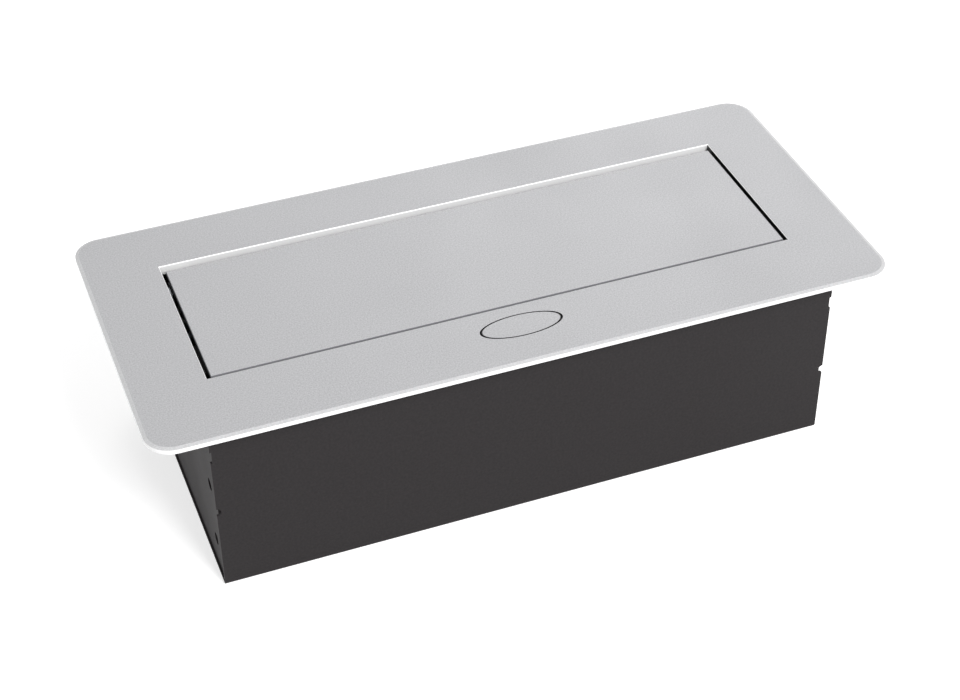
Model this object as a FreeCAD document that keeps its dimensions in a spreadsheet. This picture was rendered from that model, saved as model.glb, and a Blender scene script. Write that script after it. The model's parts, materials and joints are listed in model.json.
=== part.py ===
import FreeCAD, Part

import math
import os
import re

import Sketcher
from FreeCAD import Placement, Rotation, Vector

# Pop-up desk socket: a steel box under a silver bezel, with a flush lid that swings up and
# brings a slanted row of outlets out of the desk. Millimetres. The origin is the middle of the
# box bottom, X runs along the bezel, -Y is the button side and Z points up.

SIZES = {
    # Bezel plate
    "bezel_length": 265.0,
    "bezel_width": 120.0,
    "bezel_thickness": 2.0,
    "bezel_corner": 9.5,
    "bevel_width": 1.25,
    "bevel_height": 0.45,
    "total_height": 72.0,
    "window_end_margin": 6.3,
    "window_front_margin": 22.9,
    "window_rear": 35.1,
    "window_lip": 1.5,
    "window_lip_depth": 1.5,
    "edge_break": 0.2,
    "bezel_stud": 4.0,
    "bezel_stud_length": 5.5,
    "bezel_stud_end": 24.5,
    "bezel_stud_wall": 5.5,
    "bezel_nut_flats": 7.0,
    "bezel_nut_height": 3.2,
    # Steel box
    "box_length": 225.0,
    "box_width": 106.0,
    "sheet": 1.0,
    "bend": 0.6,
    "end_recess": 0.7,
    "top_flange": 9.0,
    "foot_flange": 12.0,
    "flange_notch": 64.0,
    "edge_notch": 3.2,
    "edge_notch_left_z": 34.0,
    "edge_notch_right_z": 28.0,
    "corner_cut_drop": 9.4,
    "corner_cut_length": 4.6,
    "corner_cut_depth": 0.6,
    "fixing_hole": 4.5,
    "fixing_hole_wall": 10.0,
    "fixing_hole_low": 13.0,
    "fixing_hole_high": 38.0,
    "rest_tab_y": 16.0,
    "rest_tab_width": 16.0,
    "rest_tab_reach": 11.0,
    "pad_thickness": 1.0,
    "pad_gap": 0.2,
    "pad_margin": 2.0,
    # Lid and hinge
    "lid_thickness": 2.0,
    "lid_gap_side": 1.5,
    "lid_gap_front": 0.6,
    "lid_gap_rear": 3.5,
    "lid_stud": 3.0,
    "lid_stud_length": 4.5,
    "lid_stud_front": 14.0,
    "lid_stud_rear": 10.0,
    "small_nut_flats": 5.5,
    "small_nut_height": 2.4,
    "hinge_back": 27.0,
    "pivot_drop": 7.0,
    "opening_angle": 60.0,
    "pin_diameter": 4.0,
    "running_gap": 0.05,
    "fixed_gap": 0.02,
    "pin_sleeve": 6.4,
    "pin_flange": 9.0,
    "pin_flange_thickness": 1.5,
    "pin_tail": 1.5,
    "bush_wall": 1.5,
    "bush_collar": 1.0,
    # Swinging carrier
    "cheek_room": 14.5,
    "cheek_sheet": 1.5,
    "cheek_flange": 10.0,
    "cheek_flange_front": 2.0,
    "cheek_flange_rear": 4.0,
    "cover_sheet": 1.0,
    "cover_heel_y": 12.0,
    "cover_heel_z": 38.0,
    "cover_back_y": 3.0,
    "cover_back_z": 12.0,
    "panel_sheet": 1.5,
    "panel_side_flange": 9.0,
    "side_flange_inset": 4.0,
    "strike_slot": 20.0,
    "strike_slot_height": 2.6,
    "strike_slot_low": 0.5,
    "stop_lip": 5.0,
    "stop_lip_width": 12.0,
    "stop_lip_x": 70.0,
    "bumper_width": 3.5,
    "bumper_margin": 1.0,
    "seat_gap": 0.3,
    "rivet_diameter": 3.0,
    "rivet_head": 5.0,
    "rivet_head_height": 0.8,
    "rivet_end_inset": 8.0,
    "rivet_edge": 5.0,
    # Outlets
    "module_pitch": 45.0,
    "module_height": 45.0,
    "module_gap": 0.2,
    "front_lip": 1.0,
    "lip_overlap": 1.5,
    "plate_depth": 3.0,
    "snap_rib_width": 12.8,
    "snap_rib_height": 0.9,
    "well_diameter": 39.5,
    "well_depth": 17.5,
    "well_wall": 1.75,
    "well_floor": 2.0,
    "block_width": 32.0,
    "block_height": 24.0,
    "block_depth": 13.0,
    "pin_spacing": 19.0,
    "pin_hole": 5.5,
    "contact_tube": 6.2,
    "contact_wall": 0.6,
    "contact_length": 10.5,
    "clip_width": 4.0,
    "clip_sheet": 0.8,
    "clip_bow": 1.0,
    "clip_knee": 2.6,
    "clip_crest": 9.6,
    "clip_slot": 1.0,
    "centre_screw": 3.0,
    "centre_screw_head": 6.0,
    "centre_screw_head_height": 1.5,
    "centre_screw_length": 6.3,
    "centre_bore": 8.5,
    "usb_width": 12.4,
    "usb_height": 4.9,
    "usb_wall": 0.4,
    "usb_depth": 12.0,
    "usb_spacing": 15.0,
    "usb_body_depth": 17.0,
    "usb_case_inset": 3.0,
    "usb_tongue_inset": 0.7,
    "usb_tongue_setback": 2.0,
    # Damper gears
    "gear_module": 1.0,
    "pinion_teeth": 10.0,
    "sector_teeth": 40.0,
    "sector_addendum": 0.6,
    "pinion_addendum": 0.8,
    "gear_dedendum": 1.1,
    "flank_gap": 0.06,
    "gear_thickness": 3.0,
    "sector_hub": 9.0,
    "sector_lug_y": 8.0,
    "sector_lug_z": 14.0,
    "sector_rivet_top": 2.0,
    "pinion_shaft": 3.0,
    "pinion_shaft_length": 5.6,
    "spindle_bore": 6.4,
    "damper_diameter": 18.0,
    "damper_depth": 8.0,
    "damper_ear_reach": 12.5,
    "damper_ear_width": 8.0,
    "damper_ear_sheet": 1.5,
    "damper_screw": 2.5,
    "damper_screw_head": 4.4,
    "damper_screw_head_height": 1.4,
    # Springs
    "torsion_wire": 1.0,
    "torsion_turns": 3.0,
    "torsion_leg": 6.0,
    "button_wire": 0.6,
    "button_turns": 5.0,
    # Button and latch
    "button_wall": 11.9,
    "button_hole_major": 29.8,
    "button_hole_minor": 11.6,
    "button_end_gap": 0.6,
    "button_side_gap": 0.35,
    "button_rim": 1.5,
    "button_rim_height": 1.0,
    "button_stem": 6.0,
    "button_travel": 2.5,
    "stem_drop": 15.1,
    "guide_inner": 34.0,
    "guide_wall": 2.0,
    "guide_front_reach": 6.4,
    "guide_back_reach": 8.1,
    "guide_drop": 28.0,
    "guide_shelf_drop": 18.0,
    "guide_web_drop": 9.0,
    "guide_web": 1.5,
    "guide_foot": 9.0,
    "guide_boss": 11.0,
    "guide_stud": 3.0,
    "guide_stud_x": 23.5,
    "latch_sheet": 0.6,
    "latch_width": 26.0,
    "latch_prong": 4.5,
    "latch_prong_x": 6.5,
    "latch_tongue": 6.0,
    "latch_nose": 4.6,
    "latch_nose_height": 1.1,
    "latch_reach": 11.0,
    "latch_margin": 0.5,
    "latch_screw": 2.0,
    "latch_screw_head": 4.0,
    "latch_screw_head_height": 1.2,
    "latch_screw_x": 9.5,
    "latch_screw_drop": 23.0,
    # Supply side
    "inlet_x": 60.0,
    "inlet_z": 10.0,
    "inlet_hole": 12.0,
    "inlet_bore": 8.0,
    "grommet_rim": 16.0,
    "grommet_lip": 2.0,
    "clamp_wall": 16.0,
    "clamp_strap": 1.2,
    "clamp_width": 9.0,
    "clamp_foot": 9.0,
    "clamp_screw": 3.0,
    "clamp_screw_head": 5.5,
    "clamp_screw_head_height": 1.8,
    "terminal_x": 5.0,
    "terminal_wall": 12.0,
    "terminal_pole": 11.0,
    "terminal_depth": 20.0,
    "terminal_height": 16.0,
    "terminal_step": 5.0,
    "terminal_entry": 4.0,
    "terminal_entry_height": 6.4,
    "terminal_screw": 4.0,
    "terminal_screw_height": 2.5,
    "terminal_screw_spacing": 8.0,
    "terminal_slot": 0.8,
    "earth_x": 40.0,
    "earth_stud": 4.0,
    "earth_stud_length": 11.0,
}

doc = FreeCAD.newDocument("pop_up_socket")
sheet = doc.addObject("Spreadsheet::Sheet", "sizes")
for row, (alias, value) in enumerate(SIZES.items(), start=1):
    sheet.set(f"A{row}", alias)
    sheet.set(f"B{row}", str(value))
    sheet.setAlias(f"B{row}", alias)
doc.recompute()

ALIAS = re.compile(r"\b(" + "|".join(SIZES) + r")\b")
UP = Vector(0, 0, 1)
ALONG = Vector(1, 0, 0)
REAR = Vector(0, 1, 0)

sub_parts = []


def size(expression):
    """Value of an expression written in the sheet's aliases."""
    result = sheet.evalExpression(expression)
    return float(getattr(result, "Value", result))


def bound(expression):
    """The same expression, as another object of the document writes it."""
    return ALIAS.sub(r"sizes.\1", expression)


# Places that several pieces share, written once as expressions of the sheet.
UNDERSIDE = "(total_height - bezel_thickness)"
LID_UNDER = "(total_height - lid_thickness)"
WALL = "(box_width / 2)"
INNER_WALL = "(box_width / 2 - sheet)"
BOX_END = "(box_length / 2)"
PANEL_FACE = "(box_length / 2 - end_recess)"
INNER_END = f"({PANEL_FACE} - sheet)"
WINDOW_X = "(box_length / 2 - window_end_margin)"
WINDOW_FRONT = f"({WALL} - window_front_margin)"
BEZEL_STUD_X = "(box_length / 2 - bezel_stud_end)"
BEZEL_STUD_Y = f"({WALL} - bezel_stud_wall)"
FIXING_HOLE_Y = f"({WALL} - fixing_hole_wall)"
PIVOT_Z = "(total_height - pivot_drop)"
SWEEP = f"(hinge_back + {WINDOW_FRONT} - lid_gap_front)"
HALF_CHORD = f"({SWEEP} * sin(opening_angle / 2))"
CHORD_DISTANCE = f"({SWEEP} * cos(opening_angle / 2))"
CHEEK_OUTER = "(box_length / 2 - cheek_room)"
CHEEK_INNER = f"({CHEEK_OUTER} - cheek_sheet)"
LID_LEVEL = "(pivot_drop - lid_thickness)"
LID_STUD_X = f"({CHEEK_INNER} - cheek_flange / 2)"
LID_STUD_Y = ("(hinge_back - lid_stud_rear)", f"(hinge_back - {SWEEP} + lid_stud_front)")
BUSH_OUTER = "(pin_diameter + 2 * bush_wall)"
COIL_RADIUS = "(pin_sleeve / 2 + seat_gap + torsion_wire / 2)"
SPRING_HOLE_Z = f"({PIVOT_Z} - torsion_leg - 1.5 * torsion_wire)"
CENTRE_DISTANCE = "(gear_module * (sector_teeth + pinion_teeth) / 2)"
PINION_Z = f"({PIVOT_Z} - {CENTRE_DISTANCE})"
SECTOR_FACE = f"({CHEEK_OUTER} + gear_thickness)"
DAMPER_FACE = f"({INNER_END} - damper_depth)"
PIN_FLANGE_FACE = f"({INNER_END} - pin_flange_thickness)"
SLEEVE_END = f"({SECTOR_FACE} + seat_gap)"
RIVET_PLACES = (f"{HALF_CHORD} - rivet_end_inset", f"-{HALF_CHORD} + rivet_end_inset")
RIVET_DEPTH = "-(panel_sheet + rivet_edge)"
SECTOR_RIVETS = (("-sector_lug_y", "-sector_lug_z"), ("-sector_lug_y", "-sector_rivet_top"))
STRIKE_LOW = f"({PIVOT_Z} + strike_slot_low)"
BUTTON_Y = f"({WALL} - button_wall)"
STEM_END = f"({UNDERSIDE} - stem_drop)"
GUIDE_FRONT = f"({BUTTON_Y} + guide_front_reach)"
GUIDE_BACK = f"({BUTTON_Y} - guide_back_reach)"
GUIDE_LOW = f"({UNDERSIDE} - guide_drop)"
GUIDE_SHELF = f"({UNDERSIDE} - guide_shelf_drop)"
GUIDE_WEB = f"({UNDERSIDE} - guide_web_drop)"
LATCH_SCREW_Z = f"({UNDERSIDE} - latch_screw_drop)"
CLAMP_Y = f"({INNER_WALL} - clamp_wall)"
CLAMP_SCREW_X = "(inlet_bore / 2 + clamp_strap + clamp_foot / 2)"
TERMINAL_Y = f"({INNER_WALL} - terminal_wall)"
TERMINAL_POLES = 3

# The row holds as many modules as fit between the cheeks, the last of them for charging.
MODULES = math.floor(size(f"2 * {CHEEK_INNER} / module_pitch"))

PIVOT = Vector(0, size("hinge_back"), size(PIVOT_Z))


def from_pivot(x, along_y, along_z):
    """A point given from the pivot, as the carrier lies at rest."""
    return Vector(x, PIVOT.y + along_y, PIVOT.z + along_z)


PANEL_PLACE = Placement(
    PIVOT + Vector(0, -math.cos(math.radians(size("opening_angle / 2"))),
                   -math.sin(math.radians(size("opening_angle / 2")))) * size(CHORD_DISTANCE),
    Rotation(ALONG, 90 + size("opening_angle / 2")),
)


def new_body(name):
    body = doc.addObject("PartDesign::Body", name)
    body.Label = name
    return body


def sketch(body, plane, offset="0"):
    """A sketch on one of the body's own origin planes, moved along its normal."""
    item = body.newObject("Sketcher::SketchObject", f"{body.Name}_sketch")
    support = next(entry for entry in body.Origin.OriginFeatures if entry.Role == plane)
    item.AttachmentSupport = [(support, "")]
    item.MapMode = "FlatFace"
    item.AttachmentOffset = Placement(Vector(0, 0, size(offset)), Rotation())
    item.setExpression(".AttachmentOffset.Base.z", bound(offset))
    return item


def fix_point(item, geometry, vertex, x, y):
    """Ties one point of a sketch to two expressions."""
    for kind, text in (("DistanceX", x), ("DistanceY", y)):
        constraint = Sketcher.Constraint(kind, -1, 1, geometry, vertex, size(text))
        index = item.addConstraint(constraint)
        item.setExpression(f"Constraints[{index}]", bound(text))


def outline(item, points):
    """Closed polygon with every corner tied to the sheet."""
    corners = [Vector(size(x), size(y), 0) for x, y in points]
    first = item.GeometryCount
    count = len(corners)
    for index in range(count):
        item.addGeometry(Part.LineSegment(corners[index], corners[(index + 1) % count]), False)
    for index in range(count):
        following = first + (index + 1) % count
        item.addConstraint(Sketcher.Constraint("Coincident", first + index, 2, following, 1))
    for index, (x, y) in enumerate(points):
        fix_point(item, first + index, 1, x, y)


def rectangle(item, left, low, right, high):
    outline(item, [(left, low), (right, low), (right, high), (left, high)])


def circle(item, x, y, diameter):
    centre = Vector(size(x), size(y), 0)
    index = item.addGeometry(Part.Circle(centre, UP, size(diameter) / 2), False)
    fix_point(item, index, 3, x, y)
    constraint = item.addConstraint(Sketcher.Constraint("Diameter", index, size(diameter)))
    item.setExpression(f"Constraints[{constraint}]", bound(diameter))


def pad(body, profile, length, reversed_pad=False):
    item = body.newObject("PartDesign::Pad", f"{body.Name}_pad")
    item.Profile = profile
    item.Length = size(length)
    item.setExpression("Length", bound(length))
    item.Reversed = reversed_pad
    doc.recompute()
    return item


def pocket(body, profile, depth, reversed_pocket=False):
    """Cuts against the sketch's normal, and makes sure that something was cut."""
    before = body.Shape.Volume
    item = body.newObject("PartDesign::Pocket", f"{body.Name}_pocket")
    item.Profile = profile
    item.Length = size(depth)
    item.setExpression("Length", bound(depth))
    item.Reversed = reversed_pocket
    doc.recompute()
    if not body.Shape.Volume < before:
        raise RuntimeError(f"{body.Name}: the pocket cuts nothing")
    return item


def edges_where(shape, test):
    return [f"Edge{index}" for index, edge in enumerate(shape.Edges, start=1) if test(edge)]


def fillet(body, base, test, radius):
    item = body.newObject("PartDesign::Fillet", f"{body.Name}_fillet")
    item.Base = (base, edges_where(base.Shape, test))
    item.Radius = size(radius)
    item.setExpression("Radius", bound(radius))
    doc.recompute()
    return item


def runs_along(edge, direction):
    """True for a straight edge along the given direction."""
    if edge.Curve.TypeId != "Part::GeomLine":
        return False
    return abs(abs(edge.tangentAt(edge.FirstParameter).dot(direction)) - 1) < 1e-6


def lies_flat(edge, height):
    """True for an edge that lies wholly at one height."""
    box = edge.BoundBox
    return abs(box.ZMin - height) < 1e-5 and abs(box.ZMax - height) < 1e-5


def chamfer(body, base, test, width):
    item = body.newObject("PartDesign::Chamfer", f"{body.Name}_chamfer")
    item.Base = (base, edges_where(base.Shape, test))
    item.Size = size(width)
    item.setExpression("Size", bound(width))
    doc.recompute()
    return item


def keep(item):
    sub_parts.append(item)
    return item


def feature(name, shape, place=None):
    """A piece whose shape is made by plain geometry calls."""
    item = doc.addObject("Part::Feature", name)
    item.Label = name
    item.Shape = shape
    if place is not None:
        item.Placement = place
    return keep(item)


def block(low, high):
    span = high - low
    return Part.makeBox(span.x, span.y, span.z, low)


def hex_nut(across_flats, height, bore, base, axis=UP):
    """Hexagon nut from base along the axis, with flats towards Y."""
    radius = across_flats / math.sqrt(3)
    corners = [
        Vector(radius * math.cos(math.radians(60 * k)), radius * math.sin(math.radians(60 * k)), 0)
        for k in range(7)
    ]
    solid = Part.Face(Part.makePolygon(corners)).extrude(UP * height)
    solid = solid.cut(Part.makeCylinder(bore / 2, height))
    solid.Placement = Placement(base, Rotation(UP, axis))
    return solid


def screw(head_diameter, head_height, shank, length, base, axis):
    """Pan head standing on its seat, with the shank going the other way and a cross slot."""
    head = Part.makeCylinder(head_diameter / 2, head_height, base, axis)
    side = axis.cross(ALONG) if abs(axis.dot(ALONG)) < 0.5 else axis.cross(REAR)
    slot_width = head_diameter / 5
    slot_length = head_diameter * 0.7
    slots = []
    for long_way, short_way in ((side, axis.cross(side)), (axis.cross(side), side)):
        corner = base + axis * (head_height / 2) - long_way * (slot_length / 2)
        corner -= short_way * (slot_width / 2)
        face = Part.Face(Part.makePolygon([
            corner,
            corner + long_way * slot_length,
            corner + long_way * slot_length + short_way * slot_width,
            corner + short_way * slot_width,
            corner,
        ]))
        slots.append(face.extrude(axis * head_height))
    body = head.cut(slots[0]).cut(slots[1])
    return body.fuse(Part.makeCylinder(shank / 2, length, base, axis * -1)).removeSplitter()


def tangent_arcs(stations):
    """Path through stations (point, direction), each pair joined by a line or by two arcs."""
    edges = []
    for (start, leave), (end, arrive) in zip(stations, stations[1:]):
        chord = end - start
        straight = leave.dot(arrive) > 1 - 1e-9
        if straight and chord.getAngle(leave) < 1e-6:
            edges.append(Part.LineSegment(start, end).toShape())
            continue
        spread = 2 * (1 - leave.dot(arrive))
        along = chord.dot(leave + arrive)
        if spread < 1e-9:
            reach = chord.dot(chord) / (2 * along)
        else:
            reach = (math.sqrt(along ** 2 + spread * chord.dot(chord)) - along) / spread
        middle = (start + leave * reach + end - arrive * reach) * 0.5
        for first, corner, last in (
            (start, start + leave * reach, middle),
            (middle, end - arrive * reach, end),
        ):
            foot = (first + last) * 0.5
            cosine = (last - first).Length / 2 / reach
            edges.append(Part.Arc(first, foot + (corner - foot) * (cosine / (1 + cosine)), last).toShape())
    return Part.Wire(edges)


def helix_stations(radius, pitch, turns, first_angle=0.0, steps=4):
    """Points and directions of a helix about Z from the origin, quarter turn by quarter turn."""
    stations = []
    slope = pitch / (2 * math.pi)
    count = round(turns * steps)
    for index in range(count + 1):
        angle = first_angle + index * 2 * math.pi / steps
        rise = pitch * index / steps
        direction = Vector(-radius * math.sin(angle), radius * math.cos(angle), slope).normalize()
        stations.append((Vector(radius * math.cos(angle), radius * math.sin(angle), rise), direction))
    return stations


def wire_solid(stations, diameter):
    """Round wire along a smooth path."""
    path = tangent_arcs(stations)
    start, direction = stations[0]
    profile = Part.Wire([Part.makeCircle(diameter / 2, start, direction)])
    pipe = Part.BRepOffsetAPI.MakePipeShell(path)
    pipe.add(profile)
    pipe.build()
    pipe.makeSolid()
    return pipe.shape()


def least_self_gap(pitch, radius, diameter):
    """Least distance between the surfaces of neighbouring turns, measured on points."""
    samples = 720
    nearest = min(
        math.sqrt(2 * radius ** 2 * (1 - math.cos(2 * math.pi * k / samples)) + (pitch * k / samples) ** 2)
        for k in range(samples // 2, samples * 3 // 2)
    )
    return nearest - diameter


def make_bezel():
    """Plate with rounded corners and a bevelled rim, a lip behind the lid and studs underneath."""
    body = new_body("bezel_plate")
    plate = sketch(body, "XY_Plane", UNDERSIDE)
    rectangle(plate, "-bezel_length / 2", "-bezel_width / 2", "bezel_length / 2", "bezel_width / 2")
    blank = pad(body, plate, "bezel_thickness")
    rounded = fillet(body, blank, lambda edge: runs_along(edge, UP), "bezel_corner")
    top = size("total_height")
    bevel = body.newObject("PartDesign::Chamfer", "bezel_bevel")
    bevel.Base = (rounded, edges_where(rounded.Shape, lambda edge: lies_flat(edge, top)))
    bevel.ChamferType = "Two distances"
    bevel.setExpression("Size", bound("bevel_width"))
    bevel.setExpression("Size2", bound("bevel_height"))
    doc.recompute()
    upper = max(bevel.Shape.Faces, key=lambda face: face.CenterOfMass.z)
    if size("bezel_length - 2 * bevel_width") - upper.BoundBox.XLength < -1e-3:
        bevel.FlipDirection = True
        doc.recompute()
    window = sketch(body, "XY_Plane", "total_height")
    rectangle(window, f"-{WINDOW_X}", f"-{WINDOW_FRONT}", WINDOW_X, "window_rear")
    opened = pocket(body, window, "bezel_thickness")
    middle_x, middle_y = size(WINDOW_X), size(WINDOW_FRONT)

    def rims_window(edge):
        centre = edge.CenterOfMass
        return lies_flat(edge, top) and abs(centre.x) <= middle_x + 1e-3 and abs(centre.y) <= middle_y + 10

    chamfer(body, opened, rims_window, "edge_break")
    lip = sketch(body, "XY_Plane", UNDERSIDE)
    rectangle(lip, f"-{WINDOW_X}", "window_rear", WINDOW_X, "window_rear + window_lip")
    pad(body, lip, "window_lip_depth", reversed_pad=True)
    studs = sketch(body, "XY_Plane", UNDERSIDE)
    for x in (BEZEL_STUD_X, f"-{BEZEL_STUD_X}"):
        for y in (BEZEL_STUD_Y, f"-{BEZEL_STUD_Y}"):
            circle(studs, x, y, "bezel_stud")
    for x in ("guide_stud_x", "-guide_stud_x"):
        circle(studs, x, f"-{BUTTON_Y}", "guide_stud")
    pad(body, studs, "bezel_stud_length", reversed_pad=True)
    hole = oval("button_hole", "button_hole_major", "button_hole_minor", UNDERSIDE, "bezel_thickness")
    bezel = doc.addObject("Part::Cut", "bezel")
    bezel.Label = "bezel"
    bezel.Base = body
    bezel.Tool = hole
    doc.recompute()
    keep(bezel)


def oval(name, major, minor, low, height):
    """Upright elliptic block at the button's place."""
    curve = doc.addObject("Part::Ellipse", f"{name}_curve")
    curve.setExpression("MajorRadius", bound(f"({major}) / 2"))
    curve.setExpression("MinorRadius", bound(f"({minor}) / 2"))
    curve.Placement = Placement(Vector(0, -size(BUTTON_Y), size(low)), Rotation())
    curve.setExpression(".Placement.Base.y", bound(f"-{BUTTON_Y}"))
    curve.setExpression(".Placement.Base.z", bound(low))
    item = doc.addObject("Part::Extrusion", name)
    item.Base = curve
    item.DirMode = "Custom"
    item.Dir = UP
    item.Solid = True
    item.setExpression("LengthFwd", bound(height))
    doc.recompute()
    return item


def make_box_shell():
    """Front wall, bottom and rear wall folded from one sheet, with top flanges turned in."""
    body = new_body("box_shell")
    profile = sketch(body, "YZ_Plane", f"-{BOX_END}")
    inner = INNER_WALL
    lip = f"({WALL} - top_flange)"
    under = f"({UNDERSIDE} - sheet)"
    outline(profile, [
        (f"-{WALL}", UNDERSIDE), (f"-{WALL}", "0"), (WALL, "0"), (WALL, UNDERSIDE),
        (lip, UNDERSIDE), (lip, under), (inner, under), (inner, "sheet"),
        (f"-{inner}", "sheet"), (f"-{inner}", under), (f"-{lip}", under), (f"-{lip}", UNDERSIDE),
    ])
    folded = pad(body, profile, "box_length")
    outer_y, inner_y = size(WALL), size(inner)
    outer_z, inner_z = (0.0, size(UNDERSIDE)), (size("sheet"), size(under))

    def is_bend(edge, y, heights):
        if not runs_along(edge, ALONG) or abs(abs(edge.CenterOfMass.y) - y) > 1e-4:
            return False
        return any(abs(edge.CenterOfMass.z - z) < 1e-4 for z in heights)

    inside = fillet(body, folded, lambda edge: is_bend(edge, inner_y, inner_z), "bend")
    fillet(body, inside, lambda edge: is_bend(edge, outer_y, outer_z), "bend + sheet")
    flange = sketch(body, "XY_Plane", UNDERSIDE)
    rectangle(flange, "-flange_notch / 2", f"-({inner} - bend)", "flange_notch / 2", f"-({lip} - sheet)")
    for x in (BEZEL_STUD_X, f"-{BEZEL_STUD_X}"):
        for y in (BEZEL_STUD_Y, f"-{BEZEL_STUD_Y}"):
            circle(flange, x, y, "bezel_stud + 2 * seat_gap")
    pocket(body, flange, "sheet")
    floor = sketch(body, "XY_Plane", "sheet")
    for side in ("-1", "1"):
        circle(floor, f"inlet_x + {side} * {CLAMP_SCREW_X}", CLAMP_Y, "clamp_screw + 2 * fixed_gap")
    pocket(body, floor, "sheet")
    inlet = sketch(body, "XZ_Plane", f"-{inner}")
    circle(inlet, "inlet_x", "inlet_z", "inlet_hole")
    pocket(body, inlet, "sheet")
    notches = sketch(body, "XZ_Plane", WALL)
    circle(notches, f"-{BOX_END}", "edge_notch_left_z", "edge_notch")
    circle(notches, BOX_END, "edge_notch_right_z", "edge_notch")
    for side in ("-1", "1"):
        rectangle(
            notches, f"{side} * {BOX_END}", f"{UNDERSIDE} - corner_cut_drop - corner_cut_length",
            f"{side} * ({BOX_END} - corner_cut_depth)", f"{UNDERSIDE} - corner_cut_drop",
        )
    pocket(body, notches, "sheet")
    keep(body)


def make_end_panel(name, side):
    """End of the box, let in between the walls, with a foot flange and a tab under the lid."""
    body = new_body(name)
    face_low = INNER_END if side > 0 else f"-{PANEL_FACE}"
    face_high = PANEL_FACE if side > 0 else f"-{INNER_END}"
    plate = sketch(body, "YZ_Plane", face_low)
    edge = f"({INNER_WALL} - fixed_gap)"
    corner = "(bend + fixed_gap)"
    neck = f"({WALL} - top_flange - fixed_gap)"
    under = f"({UNDERSIDE} - sheet)"
    half_outline = [
        (f"{edge} - {corner}", "sheet"), (edge, f"sheet + {corner}"), (edge, f"{under} - {corner}"),
        (f"{edge} - {corner}", under), (neck, under), (neck, UNDERSIDE),
    ]
    outline(plate, half_outline + [(f"-({y})", z) for y, z in reversed(half_outline)])
    pad(body, plate, "sheet")
    foot = sketch(body, "XY_Plane", "sheet")
    reach = f"({INNER_END} - foot_flange)"
    depth = f"({INNER_WALL} - 2 * bend)"
    rectangle(foot, f"{side} * {INNER_END}", f"-{depth}", f"{side} * {reach}", depth)
    pad(body, foot, "sheet")
    tab = sketch(body, "XY_Plane", f"{LID_UNDER} - pad_gap - pad_thickness - sheet")
    rectangle(
        tab, f"{side} * {INNER_END}", "-(rest_tab_y + rest_tab_width / 2)",
        f"{side} * ({INNER_END} - rest_tab_reach)", "-(rest_tab_y - rest_tab_width / 2)",
    )
    pad(body, tab, "sheet")
    holes = sketch(body, "YZ_Plane", face_high)
    for y in (FIXING_HOLE_Y, f"-{FIXING_HOLE_Y}"):
        for z in ("fixing_hole_low", "fixing_hole_high"):
            circle(holes, y, z, "fixing_hole")
    circle(holes, "hinge_back", PIVOT_Z, "pin_diameter + 2 * fixed_gap")
    circle(holes, f"hinge_back + {COIL_RADIUS}", SPRING_HOLE_Z, "torsion_wire + 2 * seat_gap")
    if side < 0:
        for reach in ("damper_ear_reach", "-damper_ear_reach"):
            circle(holes, "hinge_back", f"{PINION_Z} + {reach}", "damper_screw + 2 * running_gap")
    pocket(body, holes, "sheet")
    keep(body)


def make_lid():
    """Flush lid plate with threaded studs that hold it on the carrier's cheeks."""
    body = new_body("lid")
    plate = sketch(body, "XY_Plane", LID_UNDER)
    half = f"({WINDOW_X} - lid_gap_side)"
    rectangle(plate, f"-{half}", f"-({WINDOW_FRONT} - lid_gap_front)", half, "window_rear - lid_gap_rear")
    slab = pad(body, plate, "lid_thickness")
    chamfer(body, slab, lambda edge: lies_flat(edge, size("total_height")), "edge_break")
    studs = sketch(body, "XY_Plane", LID_UNDER)
    for x in (LID_STUD_X, f"-{LID_STUD_X}"):
        for y in LID_STUD_Y:
            circle(studs, x, y, "lid_stud")
    pad(body, studs, "lid_stud_length", reversed_pad=True)
    keep(body)


def carrier_profile():
    """Side view of the carrier: chord of the swept circle in front, folded back behind."""
    return [
        (f"hinge_back - {SWEEP}", LID_UNDER),
        (f"hinge_back - {SWEEP}", PIVOT_Z),
        (f"hinge_back - {SWEEP} * cos(opening_angle)", f"{PIVOT_Z} - {SWEEP} * sin(opening_angle)"),
        ("hinge_back - cover_heel_y", f"{PIVOT_Z} - cover_heel_z"),
        ("hinge_back + cover_back_y", f"{PIVOT_Z} - cover_back_z"),
        ("hinge_back + cover_back_y", LID_UNDER),
    ]


def make_cheek(name, side):
    """Side plate of the carrier with a flange turned in under the lid."""
    body = new_body(name)
    low = CHEEK_INNER if side > 0 else f"-{CHEEK_OUTER}"
    high = CHEEK_OUTER if side > 0 else f"-{CHEEK_INNER}"
    plate = sketch(body, "YZ_Plane", low)
    outline(plate, carrier_profile())
    pad(body, plate, "cheek_sheet")
    flange = sketch(body, "XY_Plane", LID_UNDER)
    rectangle(
        flange, f"{side} * {CHEEK_INNER}", f"hinge_back - {SWEEP} + panel_sheet + cheek_flange_front",
        f"{side} * ({CHEEK_INNER} - cheek_flange)", "hinge_back - cheek_flange_rear",
    )
    pad(body, flange, "cheek_sheet", reversed_pad=True)
    stud_holes = sketch(body, "XY_Plane", LID_UNDER)
    for y in LID_STUD_Y:
        circle(stud_holes, f"{side} * {LID_STUD_X}", y, "lid_stud + 2 * fixed_gap")
    pocket(body, stud_holes, "cheek_sheet")
    holes = sketch(body, "YZ_Plane", high)
    circle(holes, "hinge_back", PIVOT_Z, f"{BUSH_OUTER} + 2 * fixed_gap")
    circle(holes, f"hinge_back - {COIL_RADIUS}", SPRING_HOLE_Z, "torsion_wire + 2 * seat_gap")
    for place in RIVET_PLACES:
        point = PANEL_PLACE.multVec(Vector(0, size(place), size(RIVET_DEPTH)))
        turned_hole(holes, point.y, point.z)
    if side < 0:
        for y, z in SECTOR_RIVETS:
            circle(holes, f"hinge_back + {y}", f"{PIVOT_Z} + {z}", "rivet_diameter + 2 * fixed_gap")
    pocket(body, holes, "cheek_sheet")
    keep(body)


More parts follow.
